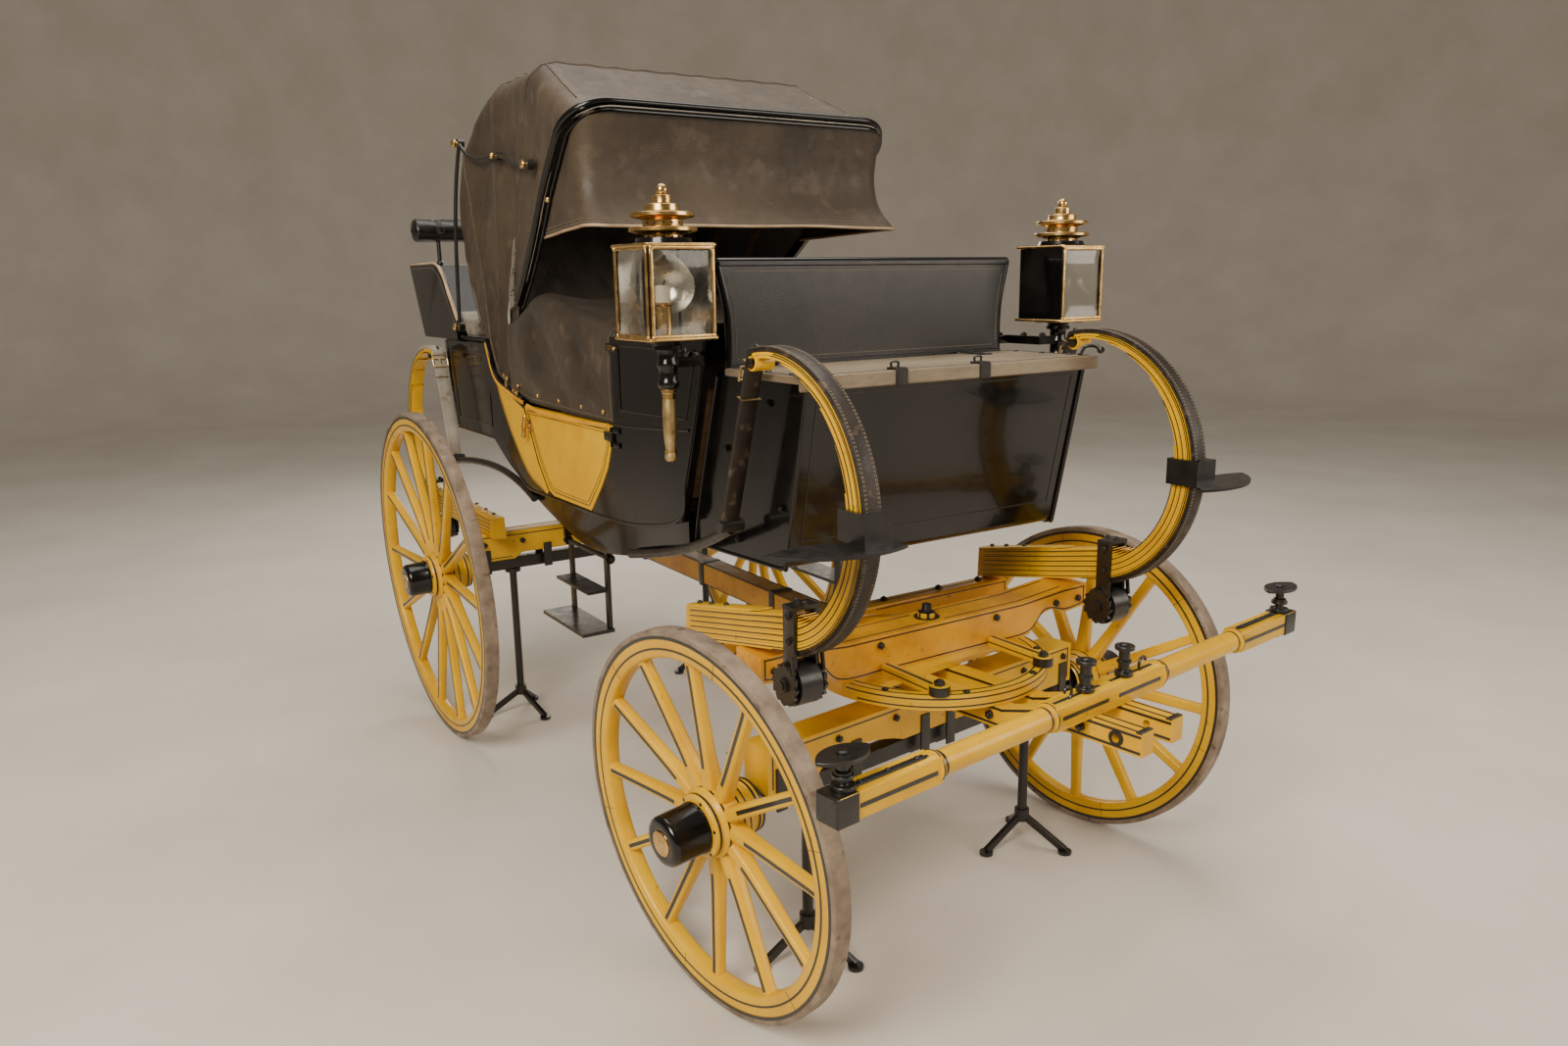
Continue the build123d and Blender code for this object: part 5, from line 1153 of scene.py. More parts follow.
belt = catmull([(1.116, 1.272), (0.933, 1.264), (0.618, 1.258), (0.445, 1.272), (0.263, 1.302),
                (0.119, 1.348), (0.046, 1.470)], 90)
orangeTrim, blackTrim, bodyLines, brassTrim, quarterPaint = [], [], [], [], []
for hand in (-1, 1):
    out = (0, hand, 0)
    rearBelt = belt[belt[:, 0] < 0.392]
    orangeTrim.append(sweep(sideRun(rearBelt, hand, onSide), roundProfile(0.013, 0.010, 0.004), out))
    blackTrim.append(sweep(sideRun(rearBelt + [0, 0.0125], hand, onSide),
                           roundProfile(0.010, 0.007, 0.003), out))
    frontBelt = [(1.128, 1.276), (1.25, 1.282), (1.40, 1.292), (1.575, 1.306)]
    blackTrim.append(sweep(sideRun(catmull(frontBelt, 20), hand, onSide),
                           roundProfile(0.009, 0.006, 0.002), out))
    for inset in (1.137, 1.152):
        bodyLines.append(ribbon(sideRun([(inset, 1.30), (inset, 1.41), (inset, 1.520)], hand, 0.4903),
                                0.0018, out))
    panelFrame = [(1.170, 1.322), (1.560, 1.334), (1.618, 1.512), (1.170, 1.508)]
    blackTrim.extend(framed(panelFrame, hand, 0.4903, roundProfile(0.0075, 0.005, 0.002)))
    lowEdge = catmull([(0.235, 1.060), (0.300, 1.018), (0.400, 0.981), (0.560, 0.9775), (0.935, 0.980),
                       (1.235, 0.996), (1.505, 1.058), (1.548, 1.172), (1.620, 1.384), (1.662, 1.536)], 90)
    blackTrim.append(sweep(sideRun(lowEdge, hand, 0.4902), roundProfile(0.009, 0.006, 0.002), out))
    # yellow rear quarter: sheet ruled between its outer curve and the edge of the door opening
    outerCurve = catmull([(0.128, 1.336), (0.185, 1.245), (0.285, 1.130), (0.410, 1.028), (0.565, 0.982)], 40)
    innerCurve = along([(0.390, 1.258), (0.427, 1.203), (0.496, 1.083), (0.577, 0.994)], 40)
    share = np.linspace(0, 1, 14)[None, :, None]
    ruled = outerCurve[:, None] * (1 - share) + innerCurve[:, None] * share
    bow = 0.0016 * np.sin(math.pi * share[..., 0]) * np.ones((40, 1))
    quarter = np.stack([ruled[..., 0], hand * (0.4906 + bow), ruled[..., 1]], -1)
    quarterPaint.append(thickSheet(quarter, np.broadcast_to(np.array(out, float), quarter.shape), 0.0012))
    for curve in (outerCurve, outerCurve + [0.010, 0.004]):
        bodyLines.append(ribbon(sideRun(curve, hand, 0.4912), 0.0026, out))
    # small brass plates where the hood's foot is held
    for ends, wide in (([(0.215, 1.365), (0.255, 1.352)], 0.016), ([(0.232, 1.300), (0.236, 1.345)], 0.013),
                       ([(0.300, 1.318), (0.345, 1.307)], 0.016)):
        a, b = sideRun(ends, hand, onSide)
        brassTrim.append(bar(a, b, wide, 0.008, 0.002, out))
    for px, pz in ((0.222, 1.363), (0.248, 1.354), (0.309, 1.3155), (0.336, 1.309)):
        brassTrim.append(lump((px, hand * 0.4945, pz), 0.0038, 0.0025, out, 10))
    # strap and ring that hold the apron to the front panel
    blackTrim.append(bar((1.095, hand * 0.4915, 1.500), (1.165, hand * 0.4915, 1.497), 0.024, 0.005, 0.001,
                         out))
    brassTrim.append(revolve(flatRing(0.0055, 0.008, -0.002, 0.002), (1.120, hand * 0.4955, 1.499), out,
                             20, True))
    brassTrim.append(lump((1.152, hand * 0.494, 1.4975), 0.006, 0.006, out))
    # front boot: beads along its edges, and bolts
    corner = catmull([(2.0535, hand * bootOut, 1.450), (2.011, hand * bootOut, 1.245),
                      (1.9655, hand * bootOut, 1.030), (1.956, hand * bootOut, 1.012),
                      (1.936, hand * bootOut, 1.0052)], 40)
    blackTrim.append(rod(corner, 0.006, 10, (0, 1, 0)))
    lowRun = along([(1.936, hand * bootOut, 1.0055), (1.522, hand * bootOut, 0.9915)], 8)
    blackTrim.append(rod(lowRun, 0.005, 10, (0, 1, 0)))
    blackTrim.append(rod(catmull([(1.521, hand * 0.4508, 0.993), (1.562, hand * 0.4508, 1.150),
                                  (1.660, hand * 0.4508, 1.448)], 20), 0.005, 10, (0, 1, 0)))
    for px, pz in ((1.700, 1.270), (1.950, 1.155), (1.75, 1.045), (1.90, 1.40)):
        blackTrim.append(nut((px, hand * bootOut, pz), 0.010, 0.008, out))
    # rear boot edges
    rearEdge = [(-0.559, 1.457), (-0.519, 1.264), (-0.4735, 1.112)]
    blackTrim.append(rod(catmull([(x, hand * 0.4503, z) for x, z in rearEdge], 16), 0.005, 10, (0, 1, 0)))
    blackTrim.append(rod(along([(-0.474, hand * 0.4503, 1.105), (-0.006, hand * 0.4503, 1.105)], 6), 0.005,
                         10, (0, 1, 0)))
    panelLine = [(-0.500, 1.420), (-0.445, 1.150), (-0.060, 1.150), (-0.060, 1.420)]
    blackTrim.extend(framed(panelLine, hand, 0.4503, roundProfile(0.007, 0.004, 0.0015)))
    # rumble sides: piped edge
    rumbleEdge = [(-0.815, 1.468), (-0.963, 1.762), (-0.640, 1.7655), (-0.560, 1.739), (-0.470, 1.641),
                  (-0.381, 1.538)]
    edgeLine = sideRun(rumbleEdge, hand, 0.451)
    tanRun = along(edgeLine[1:], 60)
    blackTrim.append(rod(along(edgeLine[:2], 12), 0.006, 10, (0, 1, 0)))
    side = "left" if hand > 0 else "right"
    put("rumblePiping_" + side, [rod(tanRun, 0.0075, 12, (0, 1, 0))], tanPiping, sharp=35.0)
    put("rumbleStitches_" + side, [stitches(tanRun - [0, -hand * 0.012, 0.016], out)], stitchThread,
        sharp=35.0)
# inset line on the boot's face, and the dash's rolled edges, seams and studs
faceDir = unit(np.array([0.088, 0, 0.4267]))
faceOut = np.array([faceDir[2], 0, -faceDir[0]])
low = np.array([1.964, 0, 1.030]) + faceDir * 0.045 + faceOut * 0.0008
high = np.array([2.052, 0, 1.4567]) - faceDir * 0.030 + faceOut * 0.0008
bodyLines.append(frameLine([low + [0, -0.415, 0], high + [0, -0.415, 0], high + [0, 0.415, 0],
                            low + [0, 0.415, 0]], faceOut, 0.0022, True))
blackTrim.append(rod(along([(1.722, -0.481, 1.726), (1.722, 0.481, 1.726)], 12), 0.0125, 14, (1, 0, 0)))
for hand in (-1, 1):
    dashEdge = catmull([(1.722, hand * 0.452, 1.462), (1.722, hand * 0.4535, 1.600),
                        (1.722, hand * 0.480, 1.724)], 24)
    blackTrim.append(rod(dashEdge, 0.0105, 14, (1, 0, 0)))
dashSeams = []
for xx, n in ((1.7325, 1), (1.7115, -1)):
    for zz in (1.706, 1.494):
        half = 0.462 if zz > 1.6 else 0.440
        dashSeams.append(stitches(along([(xx, -half, zz), (xx, half, zz)], 6), (n, 0, 0), 0.010, 0.006,
                                  0.0013, 0.0008))
    for hand in (-1, 1):
        edge = catmull([(xx, hand * 0.437, 1.50), (xx, hand * 0.439, 1.600), (xx, hand * 0.458, 1.700)], 12)
        dashSeams.append(stitches(edge, (n, 0, 0), 0.010, 0.006, 0.0013, 0.0008))
for y in np.linspace(-0.40, 0.40, 9):
    blackTrim.append(lump((1.7372, y, 1.4695), 0.007, 0.005, (1, 0, 0)))
put("orangeMouldings", orangeTrim, deepYellow)
put("blackMouldings", blackTrim, blackPaint)
put("bodyLines", bodyLines, lineBlack)
put("rearQuarters", quarterPaint, yellowPaint)
put("bodyBrass", brassTrim, brass)
put("dashStitches", dashSeams, stitchThread)

# boot lid: lines round the board, screws, hinges at its back, hasps in front and a hook at each side
lidIron, lidLines = [], []
for x0 in (1.765, 2.058):
    lidLines.append(frameLine([(x0, -0.468, 1.4754), (x0, 0.468, 1.4754)], (0, 0, 1), 0.002))
for hand in (-1, 1):
    lidLines.append(frameLine([(1.765, hand * 0.468, 1.4754), (2.058, hand * 0.468, 1.4754)], (0, 0, 1),
                              0.002))
    for px in (1.80, 1.90, 2.00):
        lidIron.append(lump((px, hand * 0.452, 1.4752), 0.008, 0.004, (0, 0, 1)))
    lidIron.append(bar((1.752, hand * 0.30, 1.4762), (1.850, hand * 0.30, 1.4762), 0.030, 0.005, 0.001))
    for px in (1.775, 1.82):
        lidIron.append(lump((px, hand * 0.30, 1.4785), 0.006, 0.003, (0, 0, 1), 12))
    lidIron.append(rod([(1.7505, hand * 0.27, 1.4745), (1.7505, hand * 0.30, 1.4745),
                        (1.7505, hand * 0.33, 1.4745)], 0.0065, 12))
    lidIron.append(rod(catmull([(2.035, hand * 0.455, 1.476), (2.035, hand * 0.475, 1.497),
                                (2.060, hand * 0.485, 1.500), (2.085, hand * 0.480, 1.490)], 16), 0.006,
                       10))
    lidIron.append(ball((2.085, hand * 0.480, 1.490), 0.010))
for y in (-0.195, 0.07):
    lidIron.append(bar((2.040, y, 1.4775), (2.078, y, 1.4775), 0.034, 0.006, 0.0015))
    lidIron.append(bar((2.0775, y, 1.478), (2.0775, y, 1.440), 0.034, 0.005, 0.0015, (1, 0, 0)))
    lidIron.append(rod(catmull([(2.050, y - 0.010, 1.479), (2.050, y - 0.010, 1.492),
                                (2.050, y + 0.010, 1.492), (2.050, y + 0.010, 1.479)], 12), 0.003, 8,
                       (1, 0, 0)))
put("lidIron", lidIron, blackIron, "front_lid")
put("lidLines", lidLines, lineBlack, "front_lid")

# doors: belt, panel lines, brass handle, strap hinge
handle = {"x": 0.452, "z": 1.205, "half": 0.036, "lean": math.radians(20)}
hingeX, hingeZ = 1.111, 1.238
doorOutline = np.array([(0.400, 1.268), (0.436, 1.205), (0.505, 1.085), (0.585, 0.998), (0.625, 0.986),
                        (0.925, 0.986), (1.015, 1.080), (1.062, 1.140), (1.100, 1.225), (1.106, 1.268)])
for name, hand in (("right", -1), ("left", 1)):
    body = "side_door_" + name
    out = (0, hand, 0)
    middle = np.array([0.76, 1.15])
    bodyPaint, fine, fitBrass, fitIron = [], [], [], []
    bodyPaint.append(sweep(sideRun(belt[(belt[:, 0] > 0.415) & (belt[:, 0] < 1.092)] - [0, 0.002], hand,
                                   onSide), roundProfile(0.013, 0.010, 0.004), out))
    for inset, width in ((0.014, 0.0026), (0.024, 0.0014)):
        ring = doorOutline + unit(middle - doorOutline) * inset * 1.35
        ring[0] += [0.004, -inset * 0.5]
        ring[-1] += [-0.004, -inset * 0.5]
        smooth = np.concatenate([along(ring, 70), along(ring[[-1, 0]], 12)[1:-1]])
        fine.append(ribbon(sideRun(smooth, hand, onSide), width, out, 0.0005, True))
    # handle: a rose, its spindle and a lever that leans 20 degrees
    hx, hz = handle["x"], handle["z"]
    dx, dz = math.sin(handle["lean"]) * handle["half"], math.cos(handle["lean"]) * handle["half"]
    fitBrass.append(lump((hx, hand * 0.4902, hz), 0.019, 0.008, out, 28))
    fitBrass.append(rod([(hx, hand * y, hz) for y in (0.492, 0.503, 0.514)], 0.0072, 16, (1, 0, 0)))
    lever = catmull([(hx - dx, hand * 0.514, hz - dz), (hx, hand * 0.5155, hz),
                     (hx + dx, hand * 0.514, hz + dz)], 20)
    fat = np.interp(np.linspace(-1, 1, 20), [-1, -0.6, 0, 0.6, 1], [1.25, 0.95, 1.3, 0.95, 1.25])
    fitBrass.append(rod(lever, 0.0068, 14, out, fat))
    for s in (-1, 1):
        fitBrass.append(ball((hx + s * dx, hand * 0.514, hz + s * dz), 0.0088))
    leafY = hand * 0.4928
    fitIron.append(bar((hingeX - 0.054, leafY, hingeZ), (hingeX - 0.004, leafY, hingeZ), 0.0265, 0.0062,
                       0.0015, out))
    pin = [(hingeX, hand * 0.496, hingeZ + rise) for rise in (-0.0128, 0, 0.0128)]
    fitIron.append(rod(pin, 0.0048, 14, (1, 0, 0)))
    for px in (hingeX - 0.044, hingeX - 0.022):
        fitIron.append(lump((px, hand * 0.4958, hingeZ), 0.0048, 0.002, out, 12))
    put("doorBelt_" + name, bodyPaint, deepYellow, body)
    put("doorLines_" + name, fine, lineBlack, body)
    put("doorBrass_" + name, fitBrass, brass, body)
    put("doorHinge_" + name, fitIron, blackIron, body)
print("stage: body")

# padded pieces: pressed outwards as cloth so that the filling shows, then buttoned
def inflate(source, name, material, voxel, pressure, shrink, buttons, replaces=(), limit=0.012):
    # closed mesh -> even voxels -> cloth under inner pressure, held at the buttons; move is capped at limit
    verts, faces = source
    centre = (verts.max(0) + verts.min(0)) / 2
    small = (centre + (verts - centre) * shrink, faces)
    piece = makePiece(name, small, material, sharp=60.0, replaces=replaces)
    remesh = piece.modifiers.new("even", "REMESH")
    remesh.mode = "VOXEL"
    remesh.voxel_size = voxel
    graph = bpy.context.evaluated_depsgraph_get()
    even = bpy.data.meshes.new_from_object(piece.evaluated_get(graph))
    piece.modifiers.clear()
    piece.data = even
    even.materials.clear()
    even.materials.append(material)
    count = len(even.vertices)
    start = np.zeros(count * 3, np.float32)
    even.vertices.foreach_get("co", start)
    start = start.reshape(-1, 3)
    hold = piece.vertex_groups.new(name="hold")
    near = np.linalg.norm(start[:, None] - buttons[None], axis=2).min(1)
    hold.add(np.nonzero(near < voxel * 1.6)[0].tolist(), 1.0, "REPLACE")
    cloth = piece.modifiers.new("fill", "CLOTH")
    cloth.settings.quality = 5
    cloth.settings.mass = 0.3
    cloth.settings.use_pressure = True
    cloth.settings.uniform_pressure_force = pressure
    cloth.settings.effector_weights.gravity = 0.0
    cloth.settings.shrink_min = -0.02
    cloth.settings.tension_stiffness = 25
    cloth.settings.compression_stiffness = 8
    cloth.settings.bending_stiffness = 0.4
    cloth.settings.vertex_group_mass = "hold"
    cloth.point_cache.frame_start = 1
    cloth.point_cache.frame_end = 20
    scene = bpy.context.scene
    for step in range(1, 21):
        scene.frame_set(step)
    graph = bpy.context.evaluated_depsgraph_get()
    done = bpy.data.meshes.new_from_object(piece.evaluated_get(graph))
    end = np.zeros(count * 3, np.float32)
    done.vertices.foreach_get("co", end)
    end = end.reshape(-1, 3)
    piece.modifiers.clear()
    scene.frame_set(1)
    move = end - start
    far = np.linalg.norm(move, axis=1, keepdims=True)
    end = start + move * np.minimum(1, limit / np.maximum(far, 1e-9))
    even.vertices.foreach_set("co", end.astype(np.float32).ravel())
    even.update()
    even.polygons.foreach_set("use_smooth", np.ones(len(even.polygons), bool))
    smooth = piece.modifiers.new("soft", "SUBSURF")
    smooth.levels = 1
    smooth.render_levels = 1
    return piece


def boxShape(low, high, radius, steps=5):
    # block with rounded upright corners: its outline carried from the bottom to the top with pinched ends
    low, high = np.asarray(low, float), np.asarray(high, float)
    size, mid = high - low, (low + high) / 2
    section = roundProfile(size[0], size[1], radius, steps)
    rise = np.array([0, 0.06, 0.5, 0.94, 1.0]) * size[2] + low[2]
    path = np.stack([np.full(5, mid[0]), np.full(5, mid[1]), rise], 1)
    pinch = np.array([0.96, 1.0, 1.0, 1.0, 0.96])
    return sweep(path, section[:, ::-1], (1, 0, 0), size=pinch)


def tufts(name, grid, normal):
    # a covered button at each tuft, standing on the cloth
    grid = place(grid)
    normals = np.array([normal] * len(grid))
    makePiece(name, merged([lump(p + n * 0.001, 0.011, 0.006, n, 16) for p, n in zip(grid, normals)]), cloth)


seatLow, seatHigh = (0.156, -0.417, 1.2995), (0.587, 0.417, 1.4085)
rows = [(0.25, 3), (0.37, 4), (0.49, 3)]
seatButtons = [(x, y, 1.405) for x, n in rows for y in np.linspace(-0.135 * (n - 1), 0.135 * (n - 1), n)]
seatShape = boxShape(seatLow, seatHigh, 0.042)
seatPiece = inflate((place(seatShape[0]), seatShape[1]), "seatCushion", cloth, 0.008, 3.5, 0.962,
                    place(seatButtons), ("seat_cushions",))
backProfile = np.array([(0.084, 1.300), (0.150, 1.300), (0.150, 1.410), (0.066, 1.925), (0.040, 1.957),
                        (-0.035, 1.957), (-0.056, 1.930)])
backEven = np.concatenate([along(backProfile, 40), along(backProfile[[-1, 0]], 20)[1:-1]])
backLine = np.array([(0, -0.417, 0), (0, -0.410, 0), (0, 0, 0), (0, 0.410, 0), (0, 0.417, 0)], float)
mid = backEven.mean(0)
rings = np.stack([backEven[:, 0], np.zeros(len(backEven)), backEven[:, 1]], 1)
pinch = np.array([0.94, 1, 1, 1, 0.94])[:, None, None]
centre3 = np.array([mid[0], 0, mid[1]])
backGrid = centre3 + (rings[None] - centre3) * pinch + backLine[:, None]
bv, bf = surface(backGrid, False, True)
m = len(backEven)
k = np.arange(m)
ends = np.array([centre3 + backLine[0], centre3 + backLine[-1]])
caps = np.concatenate([np.stack([np.full(m, 5 * m), (k + 1) % m, k, k], 1),
                       np.stack([np.full(m, 5 * m + 1), 4 * m + k, 4 * m + (k + 1) % m,
                                 4 * m + (k + 1) % m], 1)])
backShape = (np.concatenate([bv, ends]), np.concatenate([bf, caps]))
backButtons = []
for i, z in enumerate((1.50, 1.61, 1.72, 1.83)):
    n = 5 if i % 2 else 4
    xs = 0.150 - (z - 1.410) * 0.1631
    backButtons += [(xs, y, z) for y in np.linspace(-0.082 * (n - 1), 0.082 * (n - 1), n)]
backPiece = inflate((place(backShape[0]), backShape[1]), "seatBackCushion", cloth, 0.0085, 3.5, 0.965,
                    place(backButtons))
tufts("backButtons", np.array(backButtons) - [0.004, 0, 0], (0.987, 0, 0.161))
tufts("seatButtons", np.array(seatButtons) - [0, 0, 0.004], (0, 0, 1.0))
rumbleShape = boxShape((-0.806, -0.427, 1.4810), (-0.345, 0.427, 1.5580), 0.035)
rumbleButtons = [(x, y, 1.556) for x in (-0.69, -0.575, -0.46) for y in np.linspace(-0.30, 0.30, 4)]
rumblePiece = inflate((place(rumbleShape[0]), rumbleShape[1]), "rumbleCushion", greyHide, 0.008, 3.0, 0.965,
                      place(rumbleButtons), ("rumble_cushion",), 0.010)
print("stage: cushions")

# padded roll over the rumble seat: radius eased in at its straps and gathered at its ends
along1 = np.linspace(-0.440, 0.440, 120)
strapAt = np.array([-0.33, 0.33])
pull = np.exp(-((along1[:, None] - strapAt[None]) / 0.014) ** 2).sum(1)
turn = np.arange(72) / 72 * 2 * math.pi
endEase = np.sqrt(np.clip(1 - ((np.abs(along1) - 0.425) / 0.0155).clip(0, 1) ** 2, 0.02, 1))
radius = (0.0488 - 0.0045 * pull) * endEase
gathers = 0.0011 * np.sin(turn[None] * 9 + 40 * along1[:, None]) * (0.3 + pull[:, None])
wrinkle = gathers + 0.0007 * np.sin(5 * turn[None] + 23 * along1[:, None])
rr = radius[:, None] * (1 + wrinkle / 0.05)
rollGrid = np.stack([-0.958 + rr * np.cos(turn), along1[:, None] * np.ones((1, 72)),
                     1.912 + rr * np.sin(turn)], -1)
rv, rf = surface(rollGrid, False, True)
capIndex = np.arange(72)
ends = np.array([(-0.958, -0.4405, 1.912), (-0.958, 0.4405, 1.912)])
base = 120 * 72
capFaces = np.concatenate([np.stack([np.full(72, base), (capIndex + 1) % 72, capIndex, capIndex], 1),
                           np.stack([np.full(72, base + 1), base - 72 + capIndex,
                                     base - 72 + (capIndex + 1) % 72, base - 72 + (capIndex + 1) % 72], 1)])
rollShape = (np.concatenate([rv, ends]), np.concatenate([rf, capFaces]))
rollPiece = put("rumbleRoll_shown", [rollShape], blackHide, sharp=60.0, replaces=("rumble_roll",))
rollStraps, rollIron = [], []
for y in strapAt:
    loop = np.stack([-0.958 + 0.0462 * np.cos(turn), np.full(72, y), 1.912 + 0.0462 * np.sin(turn)], 1)
    rollStraps.append(sweep(loop, roundProfile(0.003, 0.022, 0.001, 2)[:, ::-1],
                            np.stack([np.cos(turn), 0 * turn, np.sin(turn)], 1), closed=True))
    dense = ringThrough([(-0.016, -0.012), (0.016, -0.012), (0.016, 0.012), (-0.016, 0.012)], 6)
    ring = np.array([-0.958 + 0.0500, y, 1.912]) + dense[:, :1] * [0, 1, 0] + dense[:, 1:] * [0, 0, 1]
    rollIron.append(sweep(ring, circleProfile(0.0022, 8), (1, 0, 0), closed=True))
for y in (-0.33, 0.33):
    post = catmull([(-0.952, y, 1.760), (-0.952, y, 1.80), (-0.953, y, 1.84), (-0.955, y, 1.872)], 20)
    rollIron.append(rod(post, 0.0088, 14, (0, 1, 0)))
    rollIron.append(ball((-0.952, y, 1.772), 0.0145))
for s in (-1, 1):
    rollIron.append(lump((-0.958, s * 0.4395, 1.912), 0.013, 0.004, (0, s, 0)))
put("rollStraps", rollStraps, braceHide)
put("rollIrons", rollIron, blackIron)
print("stage: roll and sheets")

# lamps: bevelled panes in brass frames, a silvered dish, a candle in its tube, stacked chimney, turned handle
lamp = {"x": 1.775, "y": 0.650, "low": 1.556, "high": 1.765, "paneOut": 0.0805, "frameOut": 0.0865}
glassMat = bpy.data.materials.new("bevelledGlass")
glassMat.use_nodes = True
glassTree = glassMat.node_tree
glassShader = glassTree.nodes["Principled BSDF"]
glassShader.inputs["Base Color"].default_value = (0.97, 0.96, 0.93, 1)
glassShader.inputs["Transmission Weight"].default_value = 1.0
glassShader.inputs["IOR"].default_value = 1.48
smear = glassTree.nodes.new("ShaderNodeTexNoise")
smear.inputs["Scale"].default_value = 22.0
where = glassTree.nodes.new("ShaderNodeTexCoord")
glassTree.links.new(where.outputs["Object"], smear.inputs["Vector"])
dim = glassTree.nodes.new("ShaderNodeMapRange")
dim.inputs["To Min"].default_value = 0.01
dim.inputs["To Max"].default_value = 0.10
glassTree.links.new(smear.outputs["Fac"], dim.inputs["Value"])
glassTree.links.new(dim.outputs["Result"], glassShader.inputs["Roughness"])


def pane(origin, across, up, out, wide, tall, thick=0.005, slope=0.022):
    # thick plate whose border slopes down: depth = thick * smooth step of the distance from the rim
    s = np.concatenate([[0, slope * 0.5], np.linspace(slope, wide - slope, 9),
                        [wide - slope * 0.5, wide]]) - wide / 2
    t = np.concatenate([[0, slope * 0.5], np.linspace(slope, tall - slope, 9),
                        [tall - slope * 0.5, tall]]) - tall / 2
    far = np.minimum(wide / 2 - np.abs(s)[None], tall / 2 - np.abs(t)[:, None])
    depth = 0.0012 + thick * np.clip(far / slope, 0, 1)
    flat = (np.asarray(origin, float) + s[None, :, None] * np.asarray(across, float)
            + t[:, None, None] * np.asarray(up, float))
    front = flat + depth[..., None] * np.asarray(out, float)
    normals = np.broadcast_to(np.asarray(out, float), front.shape)
    rows, cols = front.shape[:2]
    v, f = thickSheet(front, normals, 0.0)
    v[rows * cols:] = flat.reshape(-1, 3)
    return v, f


